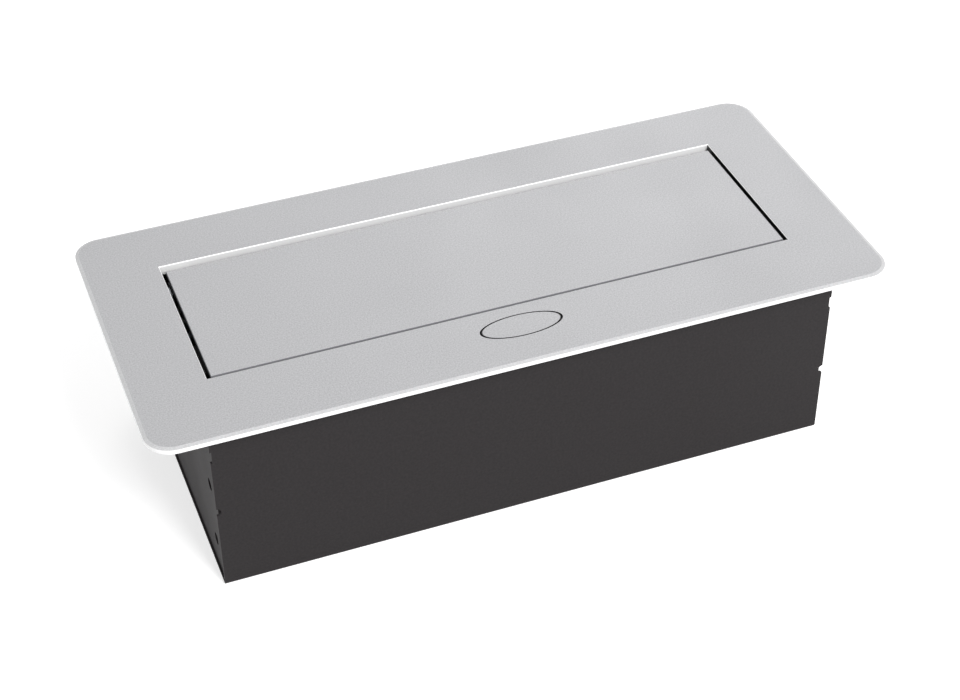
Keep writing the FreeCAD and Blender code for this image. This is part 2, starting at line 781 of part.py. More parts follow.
def turned_hole(item, y, z):
    """Rivet hole at a point that was turned with the slanted panel."""
    radius = size("rivet_diameter / 2 + fixed_gap")
    item.addGeometry(Part.Circle(Vector(y, z, 0), UP, radius), False)


def make_socket_panel():
    """Slanted sheet with one long window, a fold up to the lid and two stop lips below."""
    body = new_body("socket_panel")
    half = "opening_angle / 2"
    low = f"-{CHEEK_INNER}"
    profile = sketch(body, "YZ_Plane", low)
    outline(profile, [
        (f"-{HALF_CHORD}", "0"),
        (HALF_CHORD, "0"),
        (f"{HALF_CHORD} + {LID_LEVEL} * cos({half})", f"-{LID_LEVEL} * sin({half})"),
        (
            f"{HALF_CHORD} + {LID_LEVEL} * cos({half}) - panel_sheet * sin({half})",
            f"-{LID_LEVEL} * sin({half}) - panel_sheet * cos({half})",
        ),
        (f"{HALF_CHORD} - panel_sheet * tan({half} / 2)", "-panel_sheet"),
        (f"-{HALF_CHORD}", "-panel_sheet"),
    ])
    pad(body, profile, f"2 * {CHEEK_INNER}")
    for centre in ("stop_lip_x", "-stop_lip_x"):
        lip = sketch(body, "YZ_Plane", f"{centre} - stop_lip_width / 2")
        outline(lip, [
            (f"-{HALF_CHORD}", "0"),
            (f"-{HALF_CHORD} - stop_lip * sin({half})", f"stop_lip * cos({half})"),
            (
                f"-{HALF_CHORD} - stop_lip * sin({half}) + panel_sheet * cos({half})",
                f"stop_lip * cos({half}) + panel_sheet * sin({half})",
            ),
            (f"-{HALF_CHORD} + panel_sheet / cos({half})", "0"),
        ])
        pad(body, lip, "stop_lip_width")
    for side in (1, -1):
        flange = sketch(body, "YZ_Plane", f"{CHEEK_INNER} - panel_sheet" if side > 0 else low)
        rectangle(
            flange, f"-{HALF_CHORD} + side_flange_inset", "-(panel_sheet + panel_side_flange)",
            f"{HALF_CHORD} - side_flange_inset", "-panel_sheet",
        )
        pad(body, flange, "panel_sheet")
        holes = sketch(body, "YZ_Plane", CHEEK_INNER if side > 0 else f"-{CHEEK_INNER} + panel_sheet")
        for place in RIVET_PLACES:
            circle(holes, place, RIVET_DEPTH, "rivet_diameter + 2 * fixed_gap")
        pocket(body, holes, "panel_sheet")
    window = sketch(body, "XY_Plane", "0")
    wide = f"({MODULES} * module_pitch / 2 + module_gap / 2)"
    high = "(module_height / 2 + module_gap / 2)"
    rectangle(window, f"-{wide}", f"-{high}", wide, high)
    pocket(body, window, "panel_sheet")
    body.Placement = PANEL_PLACE
    doc.recompute()
    slot = doc.addObject("Part::Box", "strike_slot_block")
    slot.setExpression("Length", bound("strike_slot"))
    slot.setExpression("Width", bound("4 * panel_sheet"))
    slot.setExpression("Height", bound("strike_slot_height"))
    slot.setExpression(".Placement.Base.x", bound("-strike_slot / 2"))
    slot.setExpression(".Placement.Base.y", bound(f"hinge_back - {SWEEP} - panel_sheet"))
    slot.setExpression(".Placement.Base.z", bound(STRIKE_LOW))
    body.Label = "socket_panel_blank"
    panel = doc.addObject("Part::Cut", "socket_panel_slotted")
    panel.Label = "socket_panel"
    panel.Base = body
    panel.Tool = slot
    doc.recompute()
    keep(panel)


def strip_face(points, thickness):
    """Folded sheet seen end on: the run of points and its offset to the left, as (y, z)."""
    offsets = []
    for index, point in enumerate(points):
        normals = []
        for near, far in ((index - 1, index), (index, index + 1)):
            if near >= 0 and far < len(points):
                run = (points[far] - points[near]).normalize()
                normals.append(Vector(0, -run.z, run.y))
        if len(normals) == 1:
            offsets.append(point + normals[0] * thickness)
        else:
            bisector = (normals[0] + normals[1]).normalize()
            offsets.append(point + bisector * (thickness / bisector.dot(normals[0])))
    return Part.Face(Part.makePolygon(points + offsets[::-1] + points[:1]))


def make_back_cover():
    """Sheet that closes the carrier behind the outlets, from the panel's foot to the lid."""
    half = math.radians(size("opening_angle / 2"))
    full = math.radians(size("opening_angle"))
    sweep = size(SWEEP)
    foot = Vector(0, -sweep * math.cos(full), -sweep * math.sin(full))
    foot += Vector(0, math.cos(half), math.sin(half)) * size("panel_sheet + seat_gap")
    run = [
        foot,
        Vector(0, -size("cover_heel_y"), -size("cover_heel_z")),
        Vector(0, size("cover_back_y"), -size("cover_back_z")),
        Vector(0, size("cover_back_y"), size(LID_LEVEL)),
    ]
    low = -size(CHEEK_INNER)
    points = [from_pivot(low, point.y, point.z) for point in run]
    length = 2 * size(CHEEK_INNER)
    shape = strip_face(points, size("cover_sheet")).extrude(ALONG * length)
    radius = size(f"{BUSH_OUTER} / 2 + bush_collar + seat_gap")
    depth = size("2 * (bush_collar + seat_gap)")
    for centre in (low, low + length):
        relief = Part.makeCylinder(radius, depth, PIVOT, ALONG)
        relief.translate(ALONG * (centre - depth / 2))
        shape = shape.cut(relief)
    feature("back_cover", shape)


def turned(name, points, place):
    """Piece of revolution about its own X axis, from a profile given as (x, radius)."""
    body = new_body(name)
    profile = sketch(body, "XY_Plane")
    outline(profile, points)
    item = body.newObject("PartDesign::Revolution", f"{name}_turning")
    item.Profile = profile
    item.ReferenceAxis = (profile, ["H_Axis"])
    item.Angle = 360
    body.Placement = place
    doc.recompute()
    keep(body)
    return body


def make_pivots(hand, side):
    """Shouldered pin riveted in the end panel, and the plastic bush that turns on it."""
    place = Placement(PIVOT, Rotation(UP, 0 if side > 0 else 180))
    shoulder = f"{CHEEK_OUTER} + seat_gap" if side > 0 else SLEEVE_END
    tail = f"{CHEEK_INNER} - pin_tail"
    bore = "pin_diameter / 2 + running_gap"
    turned(f"pivot_pin_{hand}", [
        (PANEL_FACE, "0"), (PANEL_FACE, "pin_diameter / 2"),
        (INNER_END, "pin_diameter / 2"), (INNER_END, "pin_flange / 2"),
        (PIN_FLANGE_FACE, "pin_flange / 2"), (PIN_FLANGE_FACE, "pin_sleeve / 2"),
        (shoulder, "pin_sleeve / 2"), (shoulder, "pin_diameter / 2"),
        (tail, "pin_diameter / 2"), (tail, "0"),
    ], place)
    turned(f"pivot_bush_{hand}", [
        (CHEEK_OUTER, bore), (CHEEK_OUTER, f"{BUSH_OUTER} / 2"),
        (CHEEK_INNER, f"{BUSH_OUTER} / 2"), (CHEEK_INNER, f"{BUSH_OUTER} / 2 + bush_collar"),
        (f"{CHEEK_INNER} - bush_collar", f"{BUSH_OUTER} / 2 + bush_collar"),
        (f"{CHEEK_INNER} - bush_collar", bore),
    ], place)


def make_torsion_springs():
    """Opening springs round the pin sleeves, one leg in the cheek and one in the end panel."""
    wire = size("torsion_wire")
    radius = size(COIL_RADIUS)
    near = size(f"{SECTOR_FACE} + 3 * seat_gap") + wire / 2
    far = size(f"{PIN_FLANGE_FACE} - 2 * seat_gap") - wire / 2
    turns = size("torsion_turns") + 0.5
    pitch = (far - near) / turns
    corner = 1.5 * wire
    leg = size("torsion_leg")

    def to_left(vector):
        return Vector(-vector.z, -vector.x, vector.y)

    base = PIVOT + Vector(-near, 0, 0)
    coil = [(base + to_left(point), to_left(way)) for point, way in helix_stations(radius, pitch, turns)]
    start, leave = coil[0]
    end, arrive = coil[-1]
    outward = Vector(-1, 0, 0)
    low_corner = start - leave * (leg + corner)
    high_corner = end + arrive * (leg + corner)
    cheek_end = Vector(-size(f"{CHEEK_OUTER} - cheek_sheet / 2"), low_corner.y, low_corner.z)
    panel_end = Vector(-size(f"{PANEL_FACE} - sheet / 2"), high_corner.y, high_corner.z)
    stations = [
        (cheek_end, outward),
        (low_corner - outward * corner, outward),
        (low_corner + leave * corner, leave),
        *coil,
        (high_corner - arrive * corner, arrive),
        (high_corner + outward * corner, outward),
        (panel_end, outward),
    ]
    left = wire_solid(stations, wire)
    feature("torsion_spring_left", left)
    feature("torsion_spring_right", left.mirror(Vector(0, 0, 0), ALONG))
    print("torsion spring: least gap between turns", round(least_self_gap(pitch, radius, wire), 3), "mm")


def tooth(radius, teeth, addendum, dedendum):
    """One gear tooth pointing along +Y in the YZ plane, with involute flanks as arcs."""
    pressure = math.radians(20)
    base = radius * math.cos(pressure)
    half_angle = math.pi / (2 * teeth) - size("flank_gap") / radius

    def half_at(at_radius):
        angle = math.acos(min(1.0, base / at_radius))
        return half_angle + math.tan(pressure) - pressure - (math.tan(angle) - angle)

    def point(at_radius, sign):
        angle = sign * half_at(max(at_radius, base))
        return Vector(0, at_radius * math.cos(angle), at_radius * math.sin(angle))

    root = radius - dedendum
    tip = radius + addendum
    start = max(root, base)
    middle = (start + tip) / 2
    sunk = root - 0.3
    edges = []
    for sign in (1, -1):
        if start > root:
            edges.append(Part.LineSegment(point(sunk, sign), point(start, sign)).toShape())
        else:
            edges.append(Part.LineSegment(point(sunk, sign), point(root, sign)).toShape())
        edges.append(Part.Arc(point(start, sign), point(middle, sign), point(tip, sign)).toShape())
    edges.append(Part.LineSegment(point(tip, 1), point(tip, -1)).toShape())
    edges.append(Part.LineSegment(point(sunk, 1), point(sunk, -1)).toShape())
    return Part.Face(Part.Wire(Part.__sortEdges__(edges)))


def toothed(base_solid, face, angles, thickness):
    """Adds a tooth at each angle, measured from +Y towards +Z, to a solid on the origin."""
    single = face.extrude(ALONG * thickness)
    teeth = []
    for angle in angles:
        copy = single.copy()
        copy.rotate(Vector(0, 0, 0), ALONG, angle)
        teeth.append(copy)
    return base_solid.multiFuse(teeth).removeSplitter()


def make_damper_sector():
    """Toothed fan on the left cheek that drives the damper's pinion as the carrier opens."""
    thickness = size("gear_thickness")
    teeth = size("sector_teeth")
    radius = size("gear_module") * teeth / 2
    root = radius - size("gear_dedendum")
    pitch_angle = 360 / teeth
    first = 270 - pitch_angle * 1.5
    count = math.ceil(size("opening_angle") / pitch_angle) + 2
    angles = [first + pitch_angle * (k + 1) for k in range(count)]
    low, high = math.radians(angles[0] - pitch_angle / 2), math.radians(angles[-1] + pitch_angle / 2)
    middle = (low + high) / 2

    def polar(angle, share=1.0):
        return Vector(0, root * math.cos(angle), root * math.sin(angle)) * share

    centre = Vector(0, 0, 0)
    fan = Part.Face(Part.Wire([
        Part.LineSegment(centre, polar(low)).toShape(),
        Part.Arc(polar(low), polar(middle), polar(high)).toShape(),
        Part.LineSegment(polar(high), centre).toShape(),
    ])).extrude(ALONG * thickness)
    lug_y, lug_z, margin = size("sector_lug_y"), size("sector_lug_z"), size("rivet_head / 2 + 1")
    top = size("sector_hub / 2") - 1
    lug = Part.Face(Part.makePolygon([
        Vector(0, 0, top), Vector(0, -lug_y - margin, top), Vector(0, -lug_y - margin, -lug_z - margin),
        polar(math.radians(angles[0]), 0.95), Vector(0, 0, top),
    ])).extrude(ALONG * thickness)
    hub = Part.makeCylinder(size("sector_hub / 2"), thickness, centre, ALONG)
    face = tooth(radius, teeth, size("sector_addendum"), size("gear_dedendum"))
    solid = toothed(fan.fuse([lug, hub]), face, angles, thickness)
    bores = [(0.0, 0.0, size("pin_diameter / 2 + seat_gap"))]
    bores.append((-size(COIL_RADIUS), -size("torsion_leg + 1.2 * torsion_wire"), size("torsion_wire * 1.8")))
    for y, z in SECTOR_RIVETS:
        bores.append((size(y), size(z), size("rivet_diameter / 2 + fixed_gap")))
    for y, z, bore in bores:
        solid = solid.cut(Part.makeCylinder(bore, thickness, Vector(0, y, z), ALONG))
    feature("damper_sector", solid, Placement(PIVOT - ALONG * size(SECTOR_FACE), Rotation()))


def make_damper():
    """Rotary damper on the left end panel: housing with two ears, and its toothed pinion."""
    teeth = size("pinion_teeth")
    radius = size("gear_module") * teeth / 2
    spindle = size("pinion_shaft")
    inner = -size(f"{CHEEK_OUTER} + 2 * seat_gap")
    outer = -size(DAMPER_FACE) + size("seat_gap")
    centre = Vector(outer, PIVOT.y, size(PINION_Z))
    width = inner - outer
    root = Part.makeCylinder(radius - size("gear_dedendum"), width, Vector(0, 0, 0), ALONG)
    face = tooth(radius, teeth, size("pinion_addendum"), size("gear_dedendum"))
    gear = toothed(root, face, [90 + 360 / teeth * k for k in range(int(teeth))], width)
    shaft = Part.makeCylinder(spindle / 2, size("pinion_shaft_length"), Vector(0, 0, 0), ALONG * -1)
    feature("damper_pinion", gear.fuse(shaft), Placement(centre, Rotation()))

    body = new_body("damper_housing")
    drum = sketch(body, "YZ_Plane", f"-{INNER_END}")
    circle(drum, "hinge_back", PINION_Z, "damper_diameter")
    pad(body, drum, "damper_depth")
    ears = sketch(body, "YZ_Plane", f"-{INNER_END}")
    reach = "(damper_ear_reach + damper_ear_width / 2)"
    rectangle(
        ears, "hinge_back - damper_ear_width / 2", f"{PINION_Z} - {reach}",
        "hinge_back + damper_ear_width / 2", f"{PINION_Z} + {reach}",
    )
    pad(body, ears, "damper_ear_sheet")
    holes = sketch(body, "YZ_Plane", f"-{INNER_END} + damper_ear_sheet")
    for along in ("damper_ear_reach", "-damper_ear_reach"):
        circle(holes, "hinge_back", f"{PINION_Z} + {along}", "damper_screw + 2 * running_gap")
    pocket(body, holes, "damper_ear_sheet")
    bore = sketch(body, "YZ_Plane", f"-{DAMPER_FACE}")
    circle(bore, "hinge_back", PINION_Z, "pinion_shaft + 2 * running_gap")
    pocket(body, bore, "spindle_bore")
    keep(body)

    seat = -size(f"{INNER_END} - damper_ear_sheet")
    length = size("damper_ear_sheet + sheet")
    head, height = size("damper_screw_head"), size("damper_screw_head_height")
    feature("damper_screws", Part.makeCompound([
        screw(head, height, size("damper_screw"), length, Vector(seat, PIVOT.y, size(place)), ALONG)
        for place in (f"{PINION_Z} - damper_ear_reach", f"{PINION_Z} + damper_ear_reach")
    ]))


def make_lid_pads():
    """Rubber pads on the end panels' tabs, just under the closed lid."""
    low = size(f"{LID_UNDER} - pad_gap - pad_thickness")
    inner = size(f"{INNER_END} - rest_tab_reach")
    front = -size("rest_tab_y + rest_tab_width / 2 - pad_margin")
    length = size("rest_tab_width - 2 * pad_margin")
    reach = size(f"{WINDOW_X} - lid_gap_side") - inner
    pads = [
        Part.makeBox(reach, length, size("pad_thickness"), Vector(inner, front, low)),
        Part.makeBox(reach, length, size("pad_thickness"), Vector(-inner - reach, front, low)),
    ]
    feature("lid_rest_pads", Part.makeCompound(pads))


def make_nuts():
    """Hexagon nuts on the bezel's, the guide's and the lid's studs."""
    stud_x, stud_y = size(BEZEL_STUD_X), size(BEZEL_STUD_Y)
    flange = size(f"{UNDERSIDE} - sheet")
    flats, height = size("bezel_nut_flats"), size("bezel_nut_height")
    feature("bezel_nuts", Part.makeCompound([
        hex_nut(flats, height, size("bezel_stud"), Vector(x, y, flange), UP * -1)
        for x in (-stud_x, stud_x) for y in (-stud_y, stud_y)
    ]))
    flats, height = size("small_nut_flats"), size("small_nut_height")
    foot = size(f"{UNDERSIDE} - guide_web")
    feature("guide_nuts", Part.makeCompound([
        hex_nut(flats, height, size("guide_stud"), Vector(x, -size(BUTTON_Y), foot), UP * -1)
        for x in (-size("guide_stud_x"), size("guide_stud_x"))
    ]))
    cheek = size(f"{LID_UNDER} - cheek_sheet")
    feature("lid_nuts", Part.makeCompound([
        hex_nut(flats, height, size("lid_stud"), Vector(side * size(LID_STUD_X), size(y), cheek), UP * -1)
        for side in (-1, 1) for y in LID_STUD_Y
    ]))


def rivet(point, axis, grip):
    """Round head on the outside, with the shank through the sheets and a flat inner head."""
    radius = size("rivet_head / 2")
    height = size("rivet_head_height")
    outer = Part.makeCylinder(radius, height, point, axis)
    shank = Part.makeCylinder(size("rivet_diameter / 2"), grip + 2 * height, point + axis * height, axis * -1)
    inner = Part.makeCylinder(radius * 0.9, height, point - axis * grip, axis * -1)
    return outer.fuse([shank, inner]).removeSplitter()


def make_rivets():
    """Rivets that join the cheeks to the panel, and the toothed fan to the left cheek."""
    grip = size("cheek_sheet + panel_sheet")
    rivets = []
    for side in (-1, 1):
        for place in RIVET_PLACES:
            local = Vector(side * size(CHEEK_OUTER), size(place), size(RIVET_DEPTH))
            rivets.append(rivet(PANEL_PLACE.multVec(local), ALONG * side, grip))
    feature("panel_rivets", Part.makeCompound(rivets))
    outside = -size(SECTOR_FACE)
    feature("sector_rivets", Part.makeCompound([
        rivet(from_pivot(outside, size(y), size(z)), ALONG * -1, size("gear_thickness + cheek_sheet"))
        for y, z in SECTOR_RIVETS
    ]))


def make_stop_bumpers():
    """Rubber blocks on the stop lips, which meet the bezel from below when the carrier is open."""
    half = math.radians(size("opening_angle / 2"))
    out = Vector(0, -math.sin(half), math.cos(half))
    up = Vector(0, math.cos(half), math.sin(half))
    foot = Vector(0, -size(HALF_CHORD), 0)
    far = size("stop_lip")
    near = far - size("bumper_width")
    low = size("panel_sheet")
    high = size(f"{LID_LEVEL} - seat_gap")
    corners = [foot + out * a + up * b for a, b in ((near, low), (far, low), (far, high), (near, high))]
    face = Part.Face(Part.makePolygon(corners + corners[:1]))
    length = size("stop_lip_width - 2 * bumper_margin")
    blocks = []
    for centre in (-size("stop_lip_x"), size("stop_lip_x")):
        solid = face.extrude(ALONG * length)
        solid.translate(ALONG * (centre - length / 2))
        blocks.append(solid)
    feature("stop_bumpers", Part.makeCompound(blocks), PANEL_PLACE)


def make_button():
    """Oval push button: cap in the bezel's hole, wider rim under it and a round stem."""
    rim_high = f"({UNDERSIDE} - running_gap)"
    rim_low = f"({rim_high} - button_rim_height)"
    cap = oval(
        "button_cap", "button_hole_major - 2 * button_end_gap", "button_hole_minor - 2 * button_side_gap",
        rim_high, f"total_height - {rim_high}",
    )
    rim = oval(
        "button_rim_block", "button_hole_major + 2 * button_rim", "button_hole_minor + 2 * button_rim",
        rim_low, "button_rim_height",
    )
    parts = [cap, rim]
    stem_low = f"({STEM_END} + button_travel)"
    for name, diameter, low, high in (
        ("button_stem_block", "button_stem", stem_low, rim_low),
        ("button_tip_block", "button_stem / 2", STEM_END, stem_low),
    ):
        stem = doc.addObject("Part::Cylinder", name)
        stem.setExpression("Radius", bound(f"{diameter} / 2"))
        stem.setExpression("Height", bound(f"{high} - {low}"))
        stem.setExpression(".Placement.Base.y", bound(f"-{BUTTON_Y}"))
        stem.setExpression(".Placement.Base.z", bound(low))
        parts.append(stem)
    button = doc.addObject("Part::MultiFuse", "button")
    button.Label = "button"
    button.Shapes = parts
    button.Refine = True
    doc.recompute()
    keep(button)


def make_button_spring():
    """Coil round the stem, between the guide's web and the button's rim."""
    wire = size("button_wire")
    radius = size("button_stem / 2 + seat_gap") + wire / 2
    low = size(f"{GUIDE_WEB} + seat_gap") + wire / 2
    high = size(f"{UNDERSIDE} - running_gap - button_rim_height - seat_gap") - wire / 2
    turns = size("button_turns")
    pitch = (high - low) / turns
    solid = wire_solid(helix_stations(radius, pitch, turns), wire)
    feature("button_spring", solid, Placement(Vector(0, -size(BUTTON_Y), low), Rotation()))
    print("button spring: least gap between turns", round(least_self_gap(pitch, radius, wire), 3), "mm")


def make_button_guide():
    """Moulded frame under the bezel: two walls, a web with the stem's bore and a back wall."""
    body = new_body("button_guide")
    inner = "(guide_inner / 2)"
    outer = "(guide_inner / 2 + guide_wall)"
    walls = sketch(body, "XY_Plane", GUIDE_LOW)
    rectangle(walls, f"-{outer}", f"-{GUIDE_FRONT}", f"-{inner}", f"-{GUIDE_BACK}")
    rectangle(walls, inner, f"-{GUIDE_FRONT}", outer, f"-{GUIDE_BACK}")
    rear = sketch(body, "XY_Plane", GUIDE_LOW)
    rectangle(rear, f"-{outer}", f"-({GUIDE_BACK} + guide_wall)", outer, f"-{GUIDE_BACK}")
    pad(body, rear, "guide_drop - guide_shelf_drop")
    pad(body, walls, "guide_drop")
    web = sketch(body, "XY_Plane", GUIDE_WEB)
    web_back = f"-({GUIDE_BACK} + guide_wall + 3 * latch_sheet)"
    rectangle(web, f"-{outer}", f"-{GUIDE_FRONT}", outer, web_back)
    pad(body, web, "guide_web", reversed_pad=True)
    boss = sketch(body, "XY_Plane", f"{GUIDE_WEB} - guide_web")
    circle(boss, "0", f"-{BUTTON_Y}", "guide_boss")
    pad(body, boss, "button_travel", reversed_pad=True)
    feet = sketch(body, "XY_Plane", UNDERSIDE)
    for side in ("-1", "1"):
        rectangle(
            feet, f"{side} * {outer}", f"-({BUTTON_Y} + guide_front_reach)",
            f"{side} * ({outer} + guide_foot)", f"-({BUTTON_Y} - guide_front_reach)",
        )
    pad(body, feet, "guide_web", reversed_pad=True)
    studs = sketch(body, "XY_Plane", UNDERSIDE)
    for x in ("guide_stud_x", "-guide_stud_x"):
        circle(studs, x, f"-{BUTTON_Y}", "guide_stud + 2 * fixed_gap")
    pocket(body, studs, "guide_web")
    bore = sketch(body, "XY_Plane", GUIDE_WEB)
    circle(bore, "0", f"-{BUTTON_Y}", "button_stem + 2 * running_gap")
    pocket(body, bore, "guide_web + button_travel")
    screws = sketch(body, "XZ_Plane", f"{GUIDE_BACK} + guide_wall")
    for x in ("latch_screw_x", "-latch_screw_x"):
        circle(screws, x, LATCH_SCREW_Z, "latch_screw + 2 * fixed_gap")
    pocket(body, screws, "guide_wall")
    keep(body)


def make_latch():
    """Spring-steel catch: screwed tail, tongue under the stem and two hooked prongs."""
    strip = size("latch_sheet")
    back = -size(GUIDE_BACK)
    front_of_nose = back + size("latch_nose")
    low = size(f"{GUIDE_LOW} + latch_margin")
    shelf = size(f"{GUIDE_SHELF} + latch_margin")
    tongue_high = size(f"{STEM_END} - seat_gap")
    nose_low = size(f"{STRIKE_LOW} + seat_gap")
    nose_high = nose_low + size("latch_nose_height")
    half = size("latch_width / 2")
    tail = block(Vector(-half, back, low), Vector(half, back + strip, shelf))
    tongue_half = size("latch_tongue / 2")
    riser = block(Vector(-tongue_half, back, shelf - strip), Vector(tongue_half, back + strip, tongue_high))
    reach = size("latch_reach")
    tongue = block(
        Vector(-tongue_half, back + strip - reach, tongue_high - strip),
        Vector(tongue_half, back + strip, tongue_high),
    )
    pieces = [riser, tongue]
    for centre in (-size("latch_prong_x"), size("latch_prong_x")):
        left = centre - size("latch_prong / 2")
        right = centre + size("latch_prong / 2")
        pieces.append(block(Vector(left, back, shelf - strip), Vector(right, back + strip, nose_high)))
        nose = Part.Face(Part.makePolygon([
            Vector(left, back, nose_low), Vector(left, front_of_nose, nose_low),
            Vector(left, front_of_nose, nose_low + strip / 2), Vector(left, back + strip, nose_high),
            Vector(left, back, nose_high), Vector(left, back, nose_low),
        ]))
        pieces.append(nose.extrude(ALONG * (right - left)))
    solid = tail.fuse(pieces).removeSplitter()
    screws = []
    shank = size("latch_screw")
    head, height = size("latch_screw_head"), size("latch_screw_head_height")
    for x in (-size("latch_screw_x"), size("latch_screw_x")):
        seat = Vector(x, back + strip, size(LATCH_SCREW_Z))
        hole = Part.makeCylinder(shank / 2 + size("fixed_gap"), 2 * strip, seat, REAR * -1)
        solid = solid.cut(hole)
        screws.append(screw(head, height, shank, strip + size("guide_wall"), seat, REAR))
    feature("latch_spring", solid)
    feature("latch_screws", Part.makeCompound(screws))


def module_place(number):
    """Place of the module with this number, counted from the left end of the panel."""
    x = (number - (MODULES + 1) / 2) * size("module_pitch")
    return Placement(PANEL_PLACE.multVec(Vector(x, 0, 0)), PANEL_PLACE.Rotation)


def module_front(body):
    """Front lip, square plate and the snap ribs that hold a module in the panel's window."""
    half_x = "(module_pitch / 2 - module_gap / 2)"
    half_y = "(module_height / 2)"
    lip = sketch(body, "XY_Plane")
    rectangle(lip, f"-{half_x}", f"-({half_y} + lip_overlap)", half_x, f"{half_y} + lip_overlap")
    pad(body, lip, "front_lip")
    plate = sketch(body, "XY_Plane")
    rectangle(plate, f"-{half_x}", f"-{half_y}", half_x, half_y)
    pad(body, plate, "plate_depth", reversed_pad=True)
    ribs = sketch(body, "XY_Plane", "-panel_sheet")
    rectangle(ribs, "-snap_rib_width / 2", f"-({half_y} + snap_rib_height)", "snap_rib_width / 2",
              f"{half_y} + snap_rib_height")
    pad(body, ribs, "plate_depth - panel_sheet", reversed_pad=True)


def make_outlet(number):
    """Round-well outlet insert with its earth clip and centre screw."""
    place = module_place(number)
    body = new_body(f"socket_insert_{number}")
    module_front(body)
    floor_back = "(well_depth + well_floor - front_lip)"
    ring = sketch(body, "XY_Plane", "-plate_depth")
    circle(ring, "0", "0", "well_diameter + 2 * well_wall")
    pad(body, ring, f"{floor_back} - plate_depth", reversed_pad=True)
    holder = sketch(body, "XY_Plane", f"-{floor_back}")
    rectangle(holder, "-block_width / 2", "-block_height / 2", "block_width / 2", "block_height / 2")
    pad(body, holder, "block_depth", reversed_pad=True)
    well = sketch(body, "XY_Plane", "front_lip")
    circle(well, "0", "0", "well_diameter")
    pocket(body, well, "well_depth")
    slots = sketch(body, "XY_Plane", "front_lip")
    rectangle(
        slots, "-(clip_width / 2 + seat_gap)", "-(well_diameter / 2 + clip_slot)",
        "clip_width / 2 + seat_gap", "well_diameter / 2 + clip_slot",
    )
    pocket(body, slots, "well_depth")
    pins = sketch(body, "XY_Plane", "front_lip - well_depth")
    for x in ("pin_spacing / 2", "-pin_spacing / 2"):
        circle(pins, x, "0", "pin_hole")
    pocket(body, pins, "well_floor")
    centre = sketch(body, "XY_Plane", "front_lip - well_depth")
    circle(centre, "0", "0", "centre_screw + 2 * fixed_gap")
    pocket(body, centre, "centre_bore")
    bores = sketch(body, "XY_Plane", f"-{floor_back}")
    for x in ("pin_spacing / 2", "-pin_spacing / 2"):
        circle(bores, x, "0", "contact_tube + 2 * fixed_gap")
    pocket(body, bores, "contact_length")
    body.Placement = place
    doc.recompute()
    keep(body)

    slot = size("well_diameter / 2 + clip_slot - seat_gap")
    bow = slot - size("clip_bow")
    floor = size("front_lip - well_depth")
    mouth = floor + size("well_depth") - 2 * size("seat_gap")
    knee = floor + size("clip_knee")
    crest = floor + size("clip_crest")
    half_run = [(slot, mouth), (bow, crest), (slot, knee), (slot, floor)]
    run = [Vector(0, -y, z) for y, z in half_run] + [Vector(0, y, z) for y, z in half_run[::-1]]
    width = size("clip_width")
    clip = strip_face(run, size("clip_sheet")).extrude(ALONG * width)
    clip.translate(ALONG * (-width / 2))
    hole = Part.makeCylinder(size("centre_screw / 2 + fixed_gap"), size("well_depth"), Vector(0, 0, floor))
    feature(f"earth_clip_{number}", clip.cut(hole), place)


def make_contacts():
    """Brass contact tubes behind the pin holes, and the centre screws of the wells."""
    tubes = []
    screws = []
    radius = size("contact_tube / 2")
    length = size("contact_length")
    back = -size("well_depth + well_floor - front_lip")
    seat = size("front_lip - well_depth + clip_sheet")
    for number in range(1, MODULES):
        place = module_place(number)
        for x in (-size("pin_spacing / 2"), size("pin_spacing / 2")):
            start = Vector(x, 0, back - length)
            tube = Part.makeCylinder(radius, length, start)
            tube = tube.cut(Part.makeCylinder(radius - size("contact_wall"), length, start))
            tube.Placement = place
            tubes.append(tube)
        piece = screw(
            size("centre_screw_head"), size("centre_screw_head_height"), size("centre_screw"),
            size("centre_screw_length"), Vector(0, 0, seat), UP,
        )
        piece.Placement = place
        screws.append(piece)
    feature("pin_contacts", Part.makeCompound(tubes))
    feature("well_screws", Part.makeCompound(screws))


def make_usb():
    """Charging module with two upright-stacked ports, each a folded metal shell with a tongue."""
    place = module_place(MODULES)
    body = new_body("usb_insert")
    module_front(body)
    case = sketch(body, "XY_Plane", "-plate_depth")
    half_x = "(module_pitch / 2 - usb_case_inset)"
    half_y = "(module_height / 2 - usb_case_inset)"
    rectangle(case, f"-{half_x}", f"-{half_y}", half_x, half_y)
    pad(body, case, "usb_body_depth - plate_depth", reversed_pad=True)
    ports = sketch(body, "XY_Plane", "front_lip")
    wide = "(usb_width / 2 + usb_wall + fixed_gap)"
    high = "(usb_height / 2 + usb_wall + fixed_gap)"
    for y in ("usb_spacing / 2", "-usb_spacing / 2"):
        rectangle(ports, f"-{wide}", f"{y} - {high}", wide, f"{y} + {high}")
    pocket(body, ports, "usb_depth + front_lip")
    body.Placement = place
    doc.recompute()
    keep(body)

    wall = size("usb_wall")
    half_x = size("usb_width / 2")
    half_y = size("usb_height / 2")
    depth = size("usb_depth")
    mouth = size("front_lip - seat_gap")
    inset, setback = size("usb_tongue_inset"), size("usb_tongue_setback")
    shells = []
    for centre in (-size("usb_spacing / 2"), size("usb_spacing / 2")):
        outer = block(Vector(-half_x - wall, centre - half_y - wall, -depth),
                      Vector(half_x + wall, centre + half_y + wall, mouth))
        inner = block(Vector(-half_x, centre - half_y, wall - depth),
                      Vector(half_x, centre + half_y, mouth))
        tongue = block(Vector(inset - half_x, centre, -depth),
                       Vector(half_x - inset, centre + half_y - inset, mouth - setback))
        shells.append(outer.cut(inner).fuse(tongue).removeSplitter())
    feature("usb_ports", Part.makeCompound(shells), place)


